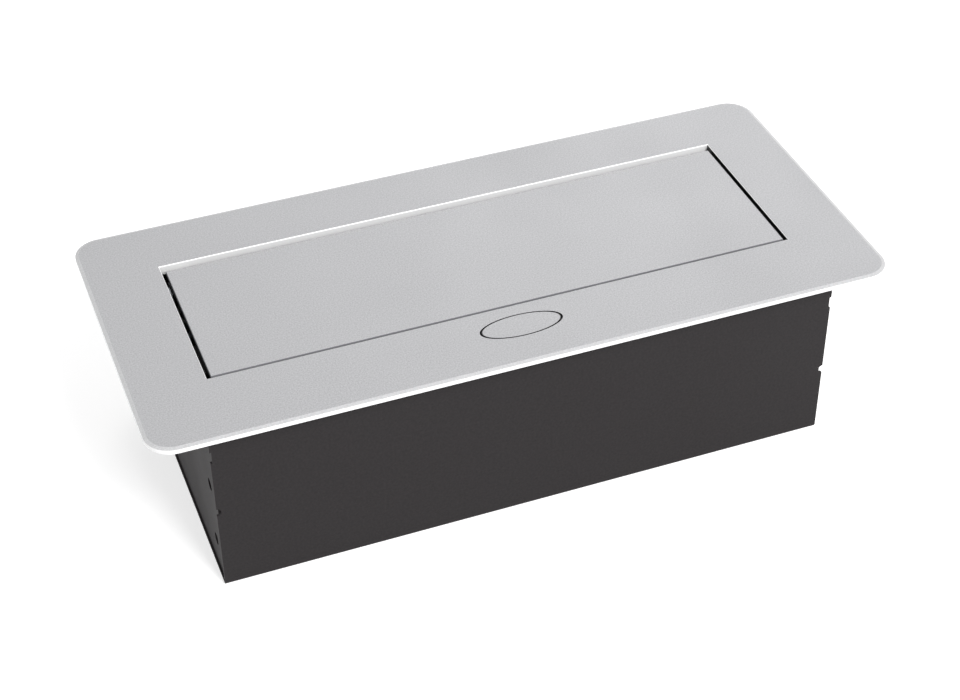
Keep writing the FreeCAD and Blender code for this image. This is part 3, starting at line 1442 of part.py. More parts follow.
def make_supply():
    """Cable inlet, cord clamp, terminal block and earth stud in the bottom of the box."""
    wall = size(WALL)
    turned("cable_grommet", [
        ("grommet_lip", "inlet_bore / 2"), ("grommet_lip", "grommet_rim / 2 - 1"),
        ("grommet_lip - 1", "grommet_rim / 2"), ("0", "grommet_rim / 2"),
        ("0", "inlet_hole / 2 - fixed_gap"), ("-sheet", "inlet_hole / 2 - fixed_gap"),
        ("-sheet", "grommet_rim / 2"), ("-sheet - grommet_lip", "grommet_rim / 2"),
        ("-sheet - grommet_lip", "inlet_bore / 2"),
    ], Placement(Vector(size("inlet_x"), wall, size("inlet_z")), Rotation(UP, 90)))

    floor = size("sheet")
    strap = size("clamp_strap")
    width = size("clamp_width")
    inner = size("inlet_bore / 2")
    outer = inner + strap
    base = Vector(size("inlet_x"), size(CLAMP_Y) - width / 2, floor + inner)
    foot = outer + size("clamp_foot")
    solid = Part.makeCylinder(outer, width, base, REAR)
    for half, low, high in ((outer, -inner, 0.0), (foot, -inner, strap - inner)):
        solid = solid.fuse(block(base + Vector(-half, 0, low), base + Vector(half, width, high)))
    solid = solid.cut(Part.makeCylinder(inner, width, base, REAR))
    solid = solid.cut(block(base + Vector(-inner, 0, -outer), base + Vector(inner, width, 0)))
    solid = solid.cut(block(base + Vector(-foot, 0, -2 * outer), base + Vector(foot, width, -inner)))
    screws = []
    head, height = size("clamp_screw_head"), size("clamp_screw_head_height")
    for side in (-1, 1):
        seat = base + Vector(side * size(CLAMP_SCREW_X), width / 2, strap - inner)
        solid = solid.cut(Part.makeCylinder(size("clamp_screw / 2 + fixed_gap"), 3 * strap, seat, UP * -1))
        length = strap + floor - size("fixed_gap")
        screws.append(screw(head, height, size("clamp_screw"), length, seat, UP))
    feature("cord_clamp", solid.removeSplitter())
    feature("cord_clamp_screws", Part.makeCompound(screws))

    body = new_body("terminal_block")
    half = f"(terminal_pole * {TERMINAL_POLES} / 2)"
    profile = sketch(body, "YZ_Plane", f"terminal_x - {half}")
    near, far = f"({TERMINAL_Y} - terminal_depth / 2)", f"({TERMINAL_Y} + terminal_depth / 2)"
    top = "(sheet + terminal_height)"
    outline(profile, [
        (near, "sheet"), (far, "sheet"), (far, f"{top} - terminal_step"),
        (f"{far} - terminal_step / 2", top), (f"{near} + terminal_step / 2", top),
        (near, f"{top} - terminal_step"),
    ])
    pad(body, profile, f"2 * {half}")
    entries = sketch(body, "XZ_Plane", f"-{near}")
    wells = sketch(body, "XY_Plane", top)
    screws = []
    radius, height, slit = size("terminal_screw / 2"), size("terminal_screw_height"), size("terminal_slot / 2")
    for pole in range(TERMINAL_POLES):
        x = f"(terminal_x - {half} + terminal_pole * {pole + 0.5})"
        circle(entries, x, "sheet + terminal_entry_height", "terminal_entry")
        for side in ("-1", "1"):
            y = f"({TERMINAL_Y} + {side} * terminal_screw_spacing / 2)"
            circle(wells, x, y, "terminal_screw + 2 * fixed_gap")
            seat = Vector(size(x), size(y), size(f"{top} - terminal_step"))
            slot = block(seat + Vector(-radius, -slit, height / 2), seat + Vector(radius, slit, height))
            screws.append(Part.makeCylinder(radius, height, seat).cut(slot))
    pocket(body, entries, "terminal_depth")
    pocket(body, wells, "terminal_step")
    keep(body)
    feature("terminal_screws", Part.makeCompound(screws))

    base = Vector(size("earth_x"), size(TERMINAL_Y), floor)
    stud = Part.makeCylinder(size("earth_stud / 2"), size("earth_stud_length"), base)
    plate = Part.makeCylinder(size("earth_stud"), floor, base)
    feature("earth_stud", stud.fuse(plate).removeSplitter())
    nut = hex_nut(size("bezel_nut_flats"), size("bezel_nut_height"), size("earth_stud"), base + UP * floor)
    feature("earth_nut", nut)


make_bezel()
make_box_shell()
make_end_panel("end_panel_left", -1)
make_end_panel("end_panel_right", 1)
make_lid()
make_cheek("cheek_left", -1)
make_cheek("cheek_right", 1)
make_socket_panel()
make_back_cover()
make_pivots("left", -1)
make_pivots("right", 1)
make_torsion_springs()
make_damper_sector()
make_damper()
make_lid_pads()
make_nuts()
make_rivets()
make_stop_bumpers()
make_button()
make_button_spring()
make_button_guide()
make_latch()
for outlet_number in range(1, MODULES):
    make_outlet(outlet_number)
make_contacts()
make_usb()
make_supply()
doc.recompute()

for item in doc.Objects:
    if "Invalid" in item.State or "Error" in item.State:
        raise RuntimeError(f"{item.Label} is in state {item.State}")
for item in sub_parts:
    if item.Shape.isNull() or not item.Shape.isValid() or not item.Shape.Solids:
        raise RuntimeError(f"{item.Label} has no valid solid")

os.makedirs("parts", exist_ok=True)
for item in sub_parts:
    item.Shape.exportStep(f"parts/{item.Label}.step")
print(len(sub_parts), "sub-parts written")
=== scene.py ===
"""Dressed model of a pop-up desk socket: finishes, small details, studio and camera.

Sizes are in millimetres in the part's own frame. Those of the studio are in metres.
"""

import json
import logging
import math
from abc import ABC, abstractmethod
from collections.abc import Iterable, Mapping, Sequence
from dataclasses import dataclass, replace
from enum import Enum
from itertools import product

import bmesh
import bpy
from mathutils import Matrix, Vector


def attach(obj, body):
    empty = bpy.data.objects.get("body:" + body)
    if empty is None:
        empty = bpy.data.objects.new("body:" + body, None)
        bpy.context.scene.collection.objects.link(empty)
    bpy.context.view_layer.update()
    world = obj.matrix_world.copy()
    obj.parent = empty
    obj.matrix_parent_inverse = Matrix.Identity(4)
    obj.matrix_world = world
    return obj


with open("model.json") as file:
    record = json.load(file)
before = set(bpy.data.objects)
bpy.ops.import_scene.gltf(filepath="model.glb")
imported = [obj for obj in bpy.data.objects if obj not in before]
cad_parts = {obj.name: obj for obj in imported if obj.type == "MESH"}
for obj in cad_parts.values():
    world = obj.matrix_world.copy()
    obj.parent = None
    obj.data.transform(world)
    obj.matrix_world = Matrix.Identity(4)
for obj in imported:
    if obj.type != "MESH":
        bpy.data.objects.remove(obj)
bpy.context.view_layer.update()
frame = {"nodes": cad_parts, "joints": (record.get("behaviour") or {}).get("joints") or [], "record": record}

LOG = logging.getLogger("desk_socket")
MM = 0.001
QUARTER_TURN = math.radians(90)
PHOTO_WIDTH = 960
SENSOR_WIDTH = 36.0

# The sRGB standard's curve: straight up to the knee, then a power.
SRGB_KNEE, SRGB_SLOPE, SRGB_OFFSET, SRGB_POWER = 0.04045, 12.92, 0.055, 2.4
# Blender's noise can reach zero and one, but seldom leaves this middle range.
NOISE_RANGE = {"From Min": 0.3, "From Max": 0.7}

Tree = bpy.types.NodeTree
Socket = bpy.types.NodeSocket
Point = tuple[float, float, float]


def linear(code: str) -> tuple[float, ...]:
    """Turns an sRGB hex colour into linear light.

    Args:
        code: a colour such as "#c4c5c8".

    Returns:
        Red, green and blue as linear values, with an alpha of one.
    """
    channels = [int(code[start:start + 2], 16) / 255 for start in (1, 3, 5)]
    values = [
        value / SRGB_SLOPE if value <= SRGB_KNEE
        else ((value + SRGB_OFFSET) / (1 + SRGB_OFFSET)) ** SRGB_POWER
        for value in channels
    ]
    return (*values, 1.0)


def per_mm(size_mm: float) -> float:
    """Texture scale, in features per metre, of features that are that many millimetres wide."""
    return 1.0 / (size_mm * MM)


def add_node(
    tree: Tree,
    kind: str,
    settings: Mapping[str, object] | None = None,
    inputs: Mapping[str | int, object] | None = None,
) -> bpy.types.Node:
    """Adds one node with its settings and its inputs.

    Args:
        tree: the node tree that gets the node.
        kind: Blender's name of the kind of node.
        settings: attribute names and their values.
        inputs: input names or numbers, each with a value or with the output socket to link.

    Returns:
        The new node.
    """
    node = tree.nodes.new(kind)
    for name, value in (settings or {}).items():
        setattr(node, name, value)
    for key, value in (inputs or {}).items():
        if isinstance(value, Socket):
            tree.links.new(value, node.inputs[key])
        else:
            node.inputs[key].default_value = value
    return node


def new_material(name: str) -> tuple[bpy.types.Material, Tree]:
    """Makes an empty node material.

    Args:
        name: the material's name.

    Returns:
        The material and its cleared node tree.
    """
    material = bpy.data.materials.new(name)
    material.use_nodes = True
    material.node_tree.nodes.clear()
    return material, material.node_tree


@dataclass(frozen=True)
class Grain:
    """A fine pattern of one finish, with the real width and height of its features."""

    size_mm: float
    height_mm: float
    strength: float
    detail: float = 2.0
    raggedness: float = 0.6


@dataclass(frozen=True)
class EdgeLook:
    """What a finish gives the shader once its edges are taken into account."""

    colour: Socket
    metallic: Socket | float
    roughness: Socket


@dataclass(frozen=True)
class Finish:
    """A finish of one real material: two close colours, its gloss and its surface grain.

    Tone and gloss also drift over clouds that are much wider than the grain.
    """

    name: str
    dark: str
    light: str
    metallic: float
    roughness: float
    grain: Grain
    roughness_swing: float = 0.05
    cloud_mm: float = 45.0
    cloud_share: float = 0.2
    cloud_detail: float = 3.0
    cloud_raggedness: float = 0.5
    stretch: Point = (1.0, 1.0, 1.0)
    specular: float = 0.5

    def build(self) -> bpy.types.Material:
        """Builds the node material.

        Returns:
            The finished material.
        """
        material, tree = new_material(self.name)
        coordinates = add_node(tree, "ShaderNodeTexCoord").outputs
        place = coordinates["Object"]
        scaled = add_node(
            tree, "ShaderNodeVectorMath", {"operation": "MULTIPLY"}, {0: place, 1: self.stretch}
        ).outputs["Vector"]
        fine, cloud = (
            add_node(
                tree, "ShaderNodeTexNoise",
                inputs={
                    "Vector": vector, "Scale": per_mm(size), "Detail": detail, "Roughness": ragged,
                },
            ).outputs["Fac"]
            for vector, size, detail, ragged in (
                (scaled, self.grain.size_mm, self.grain.detail, self.grain.raggedness),
                (place, self.cloud_mm, self.cloud_detail, self.cloud_raggedness),
            )
        )
        mixed = add_node(
            tree, "ShaderNodeMix", {"data_type": "FLOAT"}, {0: self.cloud_share, 2: fine, 3: cloud}
        ).outputs[0]
        swing = self.roughness_swing
        tone, gloss = (
            add_node(
                tree, "ShaderNodeMapRange",
                inputs={"Value": noise, **NOISE_RANGE, "To Min": low, "To Max": high},
            ).outputs["Result"]
            for noise, low, high in (
                (mixed, 0.0, 1.0),
                (cloud, self.roughness - swing, self.roughness + swing),
            )
        )
        colour = add_node(
            tree, "ShaderNodeMix", {"data_type": "RGBA"},
            {0: tone, 6: linear(self.dark), 7: linear(self.light)},
        ).outputs[2]
        bump = add_node(
            tree, "ShaderNodeBump",
            inputs={
                "Height": fine, "Strength": self.grain.strength,
                "Distance": self.grain.height_mm * MM,
            },
        ).outputs["Normal"]
        look = self.edge_look(tree, coordinates, colour, gloss)
        shader = add_node(
            tree, "ShaderNodeBsdfPrincipled",
            inputs={
                "Base Color": look.colour, "Roughness": look.roughness, "Normal": bump,
                "Metallic": look.metallic, "Specular IOR Level": self.specular,
            },
        )
        add_node(tree, "ShaderNodeOutputMaterial", inputs={"Surface": shader.outputs["BSDF"]})
        return material

    def edge_look(
        self, tree: Tree, coordinates: Mapping[str, Socket], colour: Socket, roughness: Socket
    ) -> EdgeLook:
        """Look of the piece with its edges, which are like its face.

        Args:
            tree: the material's node tree.
            coordinates: outputs of the texture coordinate node.
            colour: colour of the face.
            roughness: roughness of the face.

        Returns:
            What the shader gets.
        """
        return EdgeLook(colour, self.metallic, roughness)


class PaintedShadeWalls(Enum):
    """Which walls of a lacquered piece are painted black, as painted shade of the gaps round the lid and
    button.
    """

    ENDS = "the short walls beside the gaps at the lid's two ends"
    ENDS_AND_HOLE = "those and the wall of the button's hole"
    # The rim of the button's cap is painted shade, which darkens the gap round the button.
    ALL = "every upright wall, and the worn rim of the button's cap"


class Side(Enum):
    """On which side of a limit the size of a value lies."""

    WITHIN = "LESS_THAN"
    BEYOND = "GREATER_THAN"


@dataclass(frozen=True)
class PaintedLightLacquer(Finish):
    """Lacquer whose edges differ from its face.

    The more the surface leans, the more it takes the look of the edge: on the lid and button a
    darker grey that is painted shade, on the bezel near white that is a painted highlight. Leaning
    is measured by the upright part of the surface's direction, from level down to bevelled. Places
    painted black as painted shade in the gaps: end walls up to wall_reach_mm from the middle, walls
    of the button's hole, and the rim of its cap beyond the unshaded share of its half axes. These
    places are given in the part's own frame.
    """

    level: float = 1.0
    bevelled: float = 0.76
    steep: float = 0.9
    # Edge tone: painted shade, a darker grey on leaning faces and chamfers.
    edge: str = "#6e6e72"
    edge_metallic: float = 0.0
    edge_roughness: float = 0.95
    # Black painted shade on walls that lie in the gaps.
    painted_shade: str = "#141416"
    walls: PaintedShadeWalls = PaintedShadeWalls.ENDS
    wall_reach_mm: float = 108.0
    hole_middle_mm: float = -41.0
    hole_half_mm: tuple[float, float] = (16.0, 9.0)
    cap_middle_mm: float = -41.1
    cap_half_mm: tuple[float, float] = (14.3, 5.448)
    # Beyond this share of the cap's half axes, the rim is painted black as painted shade.
    cap_shade_start: float = 0.975

    def edge_look(
        self, tree: Tree, coordinates: Mapping[str, Socket], colour: Socket, roughness: Socket
    ) -> EdgeLook:
        """Paints the edges and bevels with painted light or shade, and paints black shade where walls lie in
        the gaps.

        Args:
            tree: the material's node tree.
            coordinates: outputs of the texture coordinate node.
            colour: colour of the face.
            roughness: roughness of the face.

        Returns:
            What the shader gets.
        """
        normal = add_node(
            tree, "ShaderNodeSeparateXYZ", inputs={0: coordinates["Normal"]}
        ).outputs
        upright = add_node(
            tree, "ShaderNodeMath", {"operation": "ABSOLUTE"}, {0: normal["Z"]}
        ).outputs[0]
        tilt = add_node(
            tree, "ShaderNodeMapRange",
            inputs={"Value": upright, "From Min": self.level, "From Max": self.bevelled},
        ).outputs["Result"]
        metallic, roughness = (
            add_node(
                tree, "ShaderNodeMix", {"data_type": "FLOAT"}, {0: tilt, 2: face, 3: edge}
            ).outputs[0]
            for face, edge in (
                (self.metallic, self.edge_metallic), (roughness, self.edge_roughness),
            )
        )
        painted_shade = self._painted_shade_mask(tree, coordinates["Object"], normal)
        # The edge tone is a painted highlight on the bezel and painted shade elsewhere; the black tone is
        # painted shade in the gaps.
        for mask, tone in ((tilt, self.edge), (painted_shade, self.painted_shade)):
            colour = add_node(
                tree, "ShaderNodeMix", {"data_type": "RGBA"}, {0: mask, 6: colour, 7: linear(tone)}
            ).outputs[2]
        return EdgeLook(colour, metallic, roughness)

    def _painted_shade_mask(self, tree: Tree, place: Socket, normal: Mapping[str, Socket]) -> Socket:
        """One where black shade is painted: in an area, all of its tests hold.

        Args:
            tree: the material's node tree.
            place: place on the object.
            normal: parts of the surface's direction.

        Returns:
            The mask.
        """
        mask: Socket | float = 0.0
        for area in self._painted_shade_areas(tree, place, normal):
            inside: Socket | float = 1.0
            for value, side, limit in area:
                size = add_node(
                    tree, "ShaderNodeMath", {"operation": "ABSOLUTE"}, {0: value}
                ).outputs[0]
                held = add_node(
                    tree, "ShaderNodeMath", {"operation": side.value}, {0: size, 1: limit}
                ).outputs[0]
                inside = add_node(
                    tree, "ShaderNodeMath", {"operation": "MULTIPLY"}, {0: inside, 1: held}
                ).outputs[0]
            mask = add_node(
                tree, "ShaderNodeMath", {"operation": "MAXIMUM"}, {0: mask, 1: inside}
            ).outputs[0]
        return mask

    def _painted_shade_areas(
        self, tree: Tree, place: Socket, normal: Mapping[str, Socket]
    ) -> list[list[tuple[Socket, Side, float]]]:
        """Areas of black painted shade, each as tests on the size of a value.

        Args:
            tree: the material's node tree.
            place: place on the object.
            normal: parts of the surface's direction.

        Returns:
            The areas, each a list of a value, its side of the limit, and the limit.
        """
        leaning = (normal["Z"], Side.WITHIN, self.steep)
        if self.walls is PaintedShadeWalls.ALL:
            return [[leaning], [(self._reach_on_cap(tree, place), Side.BEYOND, self.cap_shade_start)]]
        where = add_node(tree, "ShaderNodeSeparateXYZ", inputs={0: place}).outputs
        ends = [
            (normal["X"], Side.BEYOND, self.steep),
            (where["X"], Side.WITHIN, self.wall_reach_mm * MM),
        ]
        if self.walls is PaintedShadeWalls.ENDS:
            return [ends]
        across = add_node(
            tree, "ShaderNodeMath", {"operation": "SUBTRACT"},
            {0: where["Y"], 1: self.hole_middle_mm * MM},
        ).outputs[0]
        half_x, half_y = self.hole_half_mm
        hole = [leaning, (where["X"], Side.WITHIN, half_x * MM), (across, Side.WITHIN, half_y * MM)]
        return [ends, hole]

    def _reach_on_cap(self, tree: Tree, place: Socket) -> Socket:
        """How far out a place on the oval cap lies: zero at its middle, one at its rim.

        Args:
            tree: the material's node tree.
            place: place on the object.

        Returns:
            The share of the way out.
        """
        half_x, half_y = self.cap_half_mm
        for operation, amounts in (
            ("SUBTRACT", (0.0, self.cap_middle_mm * MM, 0.0)),
            ("MULTIPLY", (per_mm(half_x), per_mm(half_y), 0.0)),
        ):
            place = add_node(
                tree, "ShaderNodeVectorMath", {"operation": operation}, {0: place, 1: amounts}
            ).outputs["Vector"]
        return add_node(
            tree, "ShaderNodeVectorMath", {"operation": "LENGTH"}, {0: place}
        ).outputs["Value"]


class FinishName(Enum):
    """The finishes of the part. Most are a material slot of the record."""

    SILVER = "silver_lacquer"
    SILVER_BEZEL = "silver_lacquer_with_painted_highlight"
    SILVER_BUTTON = "silver_lacquer_with_painted_rim_shade"
    CHARCOAL = "charcoal_powder_coat"
    ZINC = "zinc_plated_steel"
    SPRING = "spring_steel"
    BLACK = "black_moulding"
    ACETAL = "natural_acetal"
    BRASS = "brass"
    NICKEL = "nickel_plate"
    RUBBER = "black_rubber"
    INSERT = "insert_moulding"


# Aluminium-flake lacquer sprayed on an aluminium plate: satin, with the sparkle of single flakes,
# a darker grey painted shade on the broken edges and black painted shade on the end walls. Real
# flakes are about 0.03 mm wide; they are drawn 0.5 mm wide so that the render shows them.
FLAKE_LACQUER = PaintedLightLacquer(
    "flake_lacquer_with_painted_edge_shade", "#9d9d9f", "#b6b6b8", metallic=0.3, roughness=0.56,
    grain=Grain(size_mm=0.5, height_mm=0.02, strength=0.2, detail=1.0), cloud_share=0.05,
)

FINISHES: dict[FinishName, Finish] = {
    FinishName.SILVER: FLAKE_LACQUER,
    # The same lacquer on the bezel, with a painted highlight: its upright edges are painted white and
    # the shallow bevel is painted a little lighter than the face, as if lit strongly from the front.
    # The walls beside the lid's ends and in the button's hole get black painted shade.
    FinishName.SILVER_BEZEL: replace(
        FLAKE_LACQUER, name="flake_lacquer_with_painted_highlight", walls=PaintedShadeWalls.ENDS_AND_HOLE,
        edge="#f8f8f8", edge_metallic=0.1, edge_roughness=0.4,
    ),
    # The same lacquer on the button: its walls and the rounded rim of its cap are painted black, as
    # painted shade that darkens the gap round the button.
    FinishName.SILVER_BUTTON: replace(
        FLAKE_LACQUER, name="flake_lacquer_with_painted_rim_shade", walls=PaintedShadeWalls.ALL,
    ),
    # Polyester powder coat baked on steel sheet: matt, warm near-black, with a faint orange peel
    # about 0.9 mm wide.
    FinishName.CHARCOAL: Finish(
        "matt_powder_coat_on_steel", "#242223", "#2d2a2b", metallic=0.0, roughness=0.62,
        grain=Grain(size_mm=0.9, height_mm=0.03, strength=0.2), specular=0.15,
    ),
    # Bright zinc plate on turned and pressed steel: pale, slightly blue, with soft streaks of the
    # turning tool about 0.25 mm wide.
    FinishName.ZINC: Finish(
        "bright_zinc_plate", "#a9adb2", "#c9ccd0", metallic=1.0, roughness=0.30,
        grain=Grain(size_mm=0.25, height_mm=0.01, strength=0.15), stretch=(1.0, 0.3, 1.0),
    ),
    # Spring wire, drawn through dies and tempered in oil: dark grey, with fine lines along it. The
    # real lines are about 0.05 mm wide; they are drawn 0.2 mm wide so that they show.
    FinishName.SPRING: Finish(
        "oiled_spring_steel", "#3f4043", "#57585b", metallic=1.0, roughness=0.36,
        grain=Grain(size_mm=0.2, height_mm=0.01, strength=0.2), stretch=(0.3, 1.0, 1.0),
    ),
    # Glass-filled nylon moulded in a spark-eroded tool: black with an even grain. Its pits are
    # about 0.15 mm wide; they are drawn 0.4 mm wide so that they show.
    FinishName.BLACK: Finish(
        "black_moulded_nylon", "#1c1c1e", "#29292b", metallic=0.0, roughness=0.48,
        grain=Grain(size_mm=0.4, height_mm=0.02, strength=0.3),
    ),
    # Natural acetal, machined or moulded: milky white, waxy, with soft ripples about 0.6 mm wide.
    FinishName.ACETAL: Finish(
        "natural_acetal_resin", "#dcd8cc", "#ebe8de", metallic=0.0, roughness=0.38,
        grain=Grain(size_mm=0.6, height_mm=0.01, strength=0.12),
    ),
    # Drawn brass tube and turned brass screws: warm yellow, lightly dulled by handling, with tool
    # marks about 0.3 mm wide.
    FinishName.BRASS: Finish(
        "drawn_brass", "#b8944f", "#d8b876", metallic=1.0, roughness=0.28,
        grain=Grain(size_mm=0.3, height_mm=0.01, strength=0.15),
    ),
    # Nickel plate on stamped bronze: warmer than zinc and glossier, with the faint ripple of rolled
    # strip about 0.3 mm wide.
    FinishName.NICKEL: Finish(
        "nickel_plate_on_bronze", "#b4afa6", "#cfcbc3", metallic=1.0, roughness=0.22,
        grain=Grain(size_mm=0.3, height_mm=0.008, strength=0.12),
    ),
    # Moulded nitrile rubber: dull black with a talc-like bloom. Its specks are about 0.1 mm wide;
    # they are drawn 0.5 mm wide so that they show.
    FinishName.RUBBER: Finish(
        "moulded_black_rubber", "#17171a", "#26262a", metallic=0.0, roughness=0.72,
        grain=Grain(size_mm=0.5, height_mm=0.02, strength=0.3),
    ),
    # Polycarbonate outlet moulding from a lightly etched tool: near black and satin. The etched
    # grain is about 0.2 mm wide; it is drawn 0.5 mm wide so that it shows.
    FinishName.INSERT: Finish(
        "satin_black_polycarbonate", "#202022", "#2c2c2f", metallic=0.0, roughness=0.36,
        grain=Grain(size_mm=0.5, height_mm=0.012, strength=0.18),
    ),
}


class Body(Enum):
    """The bodies of the part that carry added pieces."""

    BOX = "box"
    CARRIER = "carrier"


class Palette:
    """Builds each finish once and lends it to the pieces."""

    def __init__(self, record: Mapping[str, object]) -> None:
        """Builds every finish and reads which slot each node has.

        Args:
            record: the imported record.
        """
        self._built = {name: finish.build() for name, finish in FINISHES.items()}
        self._slots = {entry["node"]: entry["material_slot"] for entry in record["subparts"]}

    def dress(self, *nodes: str, finish: FinishName | None = None) -> None:
        """Gives CAD nodes their finish.

        Args:
            nodes: names of the nodes.
            finish: a finish other than that of the node's slot.
        """
        for name in nodes:
            node = frame["nodes"][name]
            material = self._built[finish or FinishName(self._slots[name])]
            node.data.materials.clear()
            node.data.materials.append(material)
            LOG.info("dressed %s with %s", name, material.name)

    def hand_over(self, piece: bpy.types.Object, body: Body, finish: FinishName) -> None:
        """Finishes an added piece and lets it ride on its body.

        Args:
            piece: the new object.
            body: the body that carries it.
            finish: its finish, which is also its slot.
        """
        piece.data.materials.append(self._built[finish])
        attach(piece, body.value)
        LOG.info("made %s on %s", piece.name, body.value)


@dataclass(frozen=True)
class Thread:
    """Ridge of an upright screw thread, which stands a little proud of the shank of the solid."""

    radius: float
    pitch: float
    depth: float
    length: float
    sunk: float = 0.05
    half_width: float = 0.4
    fade_turns: float = 0.5
    steps_a_turn: int = 28


@dataclass(frozen=True)
class RingSection:
    """Section of a low ring on a surface, with chamfered shoulders and a foot sunk in the surface.

    The heights at its two chamfers are shares of the ring's height.
    """

    width: float
    height: float
    inner_wall: float
    inner_chamfer: float
    outer_chamfer: float
    outer_top: float = 1.0
    inner_sunk: float = 0.1
    outer_sunk: float = 0.1

    def outline(self, radius: float) -> list[tuple[float, float]]:
        """Outline of the ring for a turning.

        Args:
            radius: inner radius of the ring.

        Returns:
            Corners as (radius, height).
        """
        outer = radius + self.width
        return [
            (radius, -self.inner_sunk),
            (radius, self.height * self.inner_wall),
            (radius + self.inner_chamfer, self.height),
            (outer - self.outer_chamfer, self.height * self.outer_top),
            (outer, -self.outer_sunk),
        ]


class Solid:
    """Mesh of one added piece, in millimetres until it is made."""

    EDGE_SEGMENTS = 3
    EDGE_ROUNDNESS = 0.5
    SAME_POINT = 1e-5
    SMOOTH_BELOW = math.radians(35)

    def __init__(self) -> None:
        """Starts an empty mesh."""
        self._mesh = bmesh.new()

    def block(self, low: Sequence[float], high: Sequence[float], edge: float) -> None:
        """Adds a block with rounded edges.

        Args:
            low: lowest corner.
            high: highest corner.
            edge: radius of its edges.
        """
        made = bmesh.ops.create_cube(self._mesh, size=1.0)["verts"]
        corner, span = Vector(low), Vector(high) - Vector(low)
        for vertex in made:
            vertex.co = corner + Vector([(vertex.co[i] + 0.5) * span[i] for i in range(3)])
        bmesh.ops.bevel(
            self._mesh, geom=list({item for vertex in made for item in vertex.link_edges}),
            offset=edge, segments=self.EDGE_SEGMENTS, affect="EDGES", profile=self.EDGE_ROUNDNESS,
        )

    def turning(self, outline: Sequence[tuple[float, float]], place: Matrix, sides: int) -> None:
        """Adds a turned solid.

        Args:
            outline: closed outline as (radius, height), turned about its height axis.
            place: where the turning's own Z axis goes.
            sides: sides of the turning.
        """
        rings = []
        for step in range(sides):
            angle = 2 * math.pi * step / sides
            rings.append([
                self._mesh.verts.new(place @ Vector((r * math.cos(angle), r * math.sin(angle), z)))
                for r, z in outline
            ])
        count = len(outline)
        for step in range(sides):
            here, there = rings[step], rings[(step + 1) % sides]
            for index in range(count):
                following = (index + 1) % count
                self._mesh.faces.new((here[index], there[index], there[following], here[following]))
        bmesh.ops.remove_doubles(self._mesh, verts=self._mesh.verts, dist=self.SAME_POINT)

    def thread(self, thread: Thread, foot: Vector) -> None:
        """Adds the ridge of a screw thread, as a triangle that winds upwards.

        Args:
            thread: sizes of the thread.
            foot: point of the axis where it starts.
        """
        count = round(thread.length / thread.pitch * thread.steps_a_turn)
        fading = thread.fade_turns * thread.steps_a_turn
        root, half = thread.radius - thread.sunk, thread.half_width * thread.pitch
        previous = None
        for step in range(count + 1):
            angle = 2 * math.pi * step / thread.steps_a_turn
            rise = thread.pitch * step / thread.steps_a_turn
            crest = thread.radius + thread.depth * min(1.0, step / fading, (count - step) / fading)
            out = Vector((math.cos(angle), math.sin(angle), 0))
            ring = [
                self._mesh.verts.new(foot + out * reach + Vector((0, 0, rise + along)))
                for reach, along in ((root, -half), (crest, 0.0), (root, half))
            ]
            if previous:
                for near, far in ((0, 1), (1, 2), (2, 0)):
                    self._mesh.faces.new((previous[near], ring[near], ring[far], previous[far]))
            else:
                self._mesh.faces.new(ring)
            previous = ring
        self._mesh.faces.new(previous[::-1])

    def make(self, name: str, place: Matrix | None = None) -> bpy.types.Object:
        """Turns the gathered mesh into an object.

        Args:
            name: name of the piece.
            place: placement of the mesh in millimetres.

        Returns:
            The new object, in metres.
        """
        bmesh.ops.recalc_face_normals(self._mesh, faces=self._mesh.faces)
        self._mesh.transform(Matrix.Scale(MM, 4) @ (place or Matrix.Identity(4)))
        for face in self._mesh.faces:
            face.smooth = True
        for edge in self._mesh.edges:
            shallow = edge.calc_face_angle(0.0) < self.SMOOTH_BELOW
            edge.smooth = len(edge.link_faces) == 2 and shallow
        data = bpy.data.meshes.new(name)
        self._mesh.to_mesh(data)
        self._mesh.free()
        piece = bpy.data.objects.new(name, data)
        bpy.context.scene.collection.objects.link(piece)
        return piece


class SubAssembly(ABC):
    """A group of pieces that belong together on the real product."""

    @abstractmethod
    def build(self, palette: Palette) -> None:
        """Dresses the group's CAD nodes and makes its small details.

        Args:
            palette: the finishes.
        """

    def thread_studs(
        self, palette: Palette, name: str, body: Body, thread: Thread, feet: Iterable[Point]
    ) -> None:
        """Threads zinc-plated studs and hands the ridges over as one piece.

        Args:
            palette: the finishes.
            name: name of the piece.
            body: the body that carries it.
            thread: sizes of the thread.
            feet: where the threads start.
        """
        ridges = Solid()
        for foot in feet:
            ridges.thread(thread, Vector(foot))
        palette.hand_over(ridges.make(name), body, FinishName.ZINC)


@dataclass
class BezelPlate(SubAssembly):
    """Silver plate in the desk, with its threaded studs and nuts."""

    stud_x: tuple[float, ...] = (-88.0, 88.0)
    stud_y: tuple[float, ...] = (-47.5, 47.5)
    stud_end: float = 64.5
    thread: Thread = Thread(radius=2.0, pitch=0.7, depth=0.18, length=1.2)

    def build(self, palette: Palette) -> None:
        """Dresses plate and nuts and cuts the threads that stand out of the nuts.

        Args:
            palette: the finishes.
        """
        palette.dress("bezel", finish=FinishName.SILVER_BEZEL)
        palette.dress("bezel_nuts")
        feet = product(self.stud_x, self.stud_y, (self.stud_end,))
        self.thread_studs(palette, "bezel_stud_threads", Body.BOX, self.thread, feet)


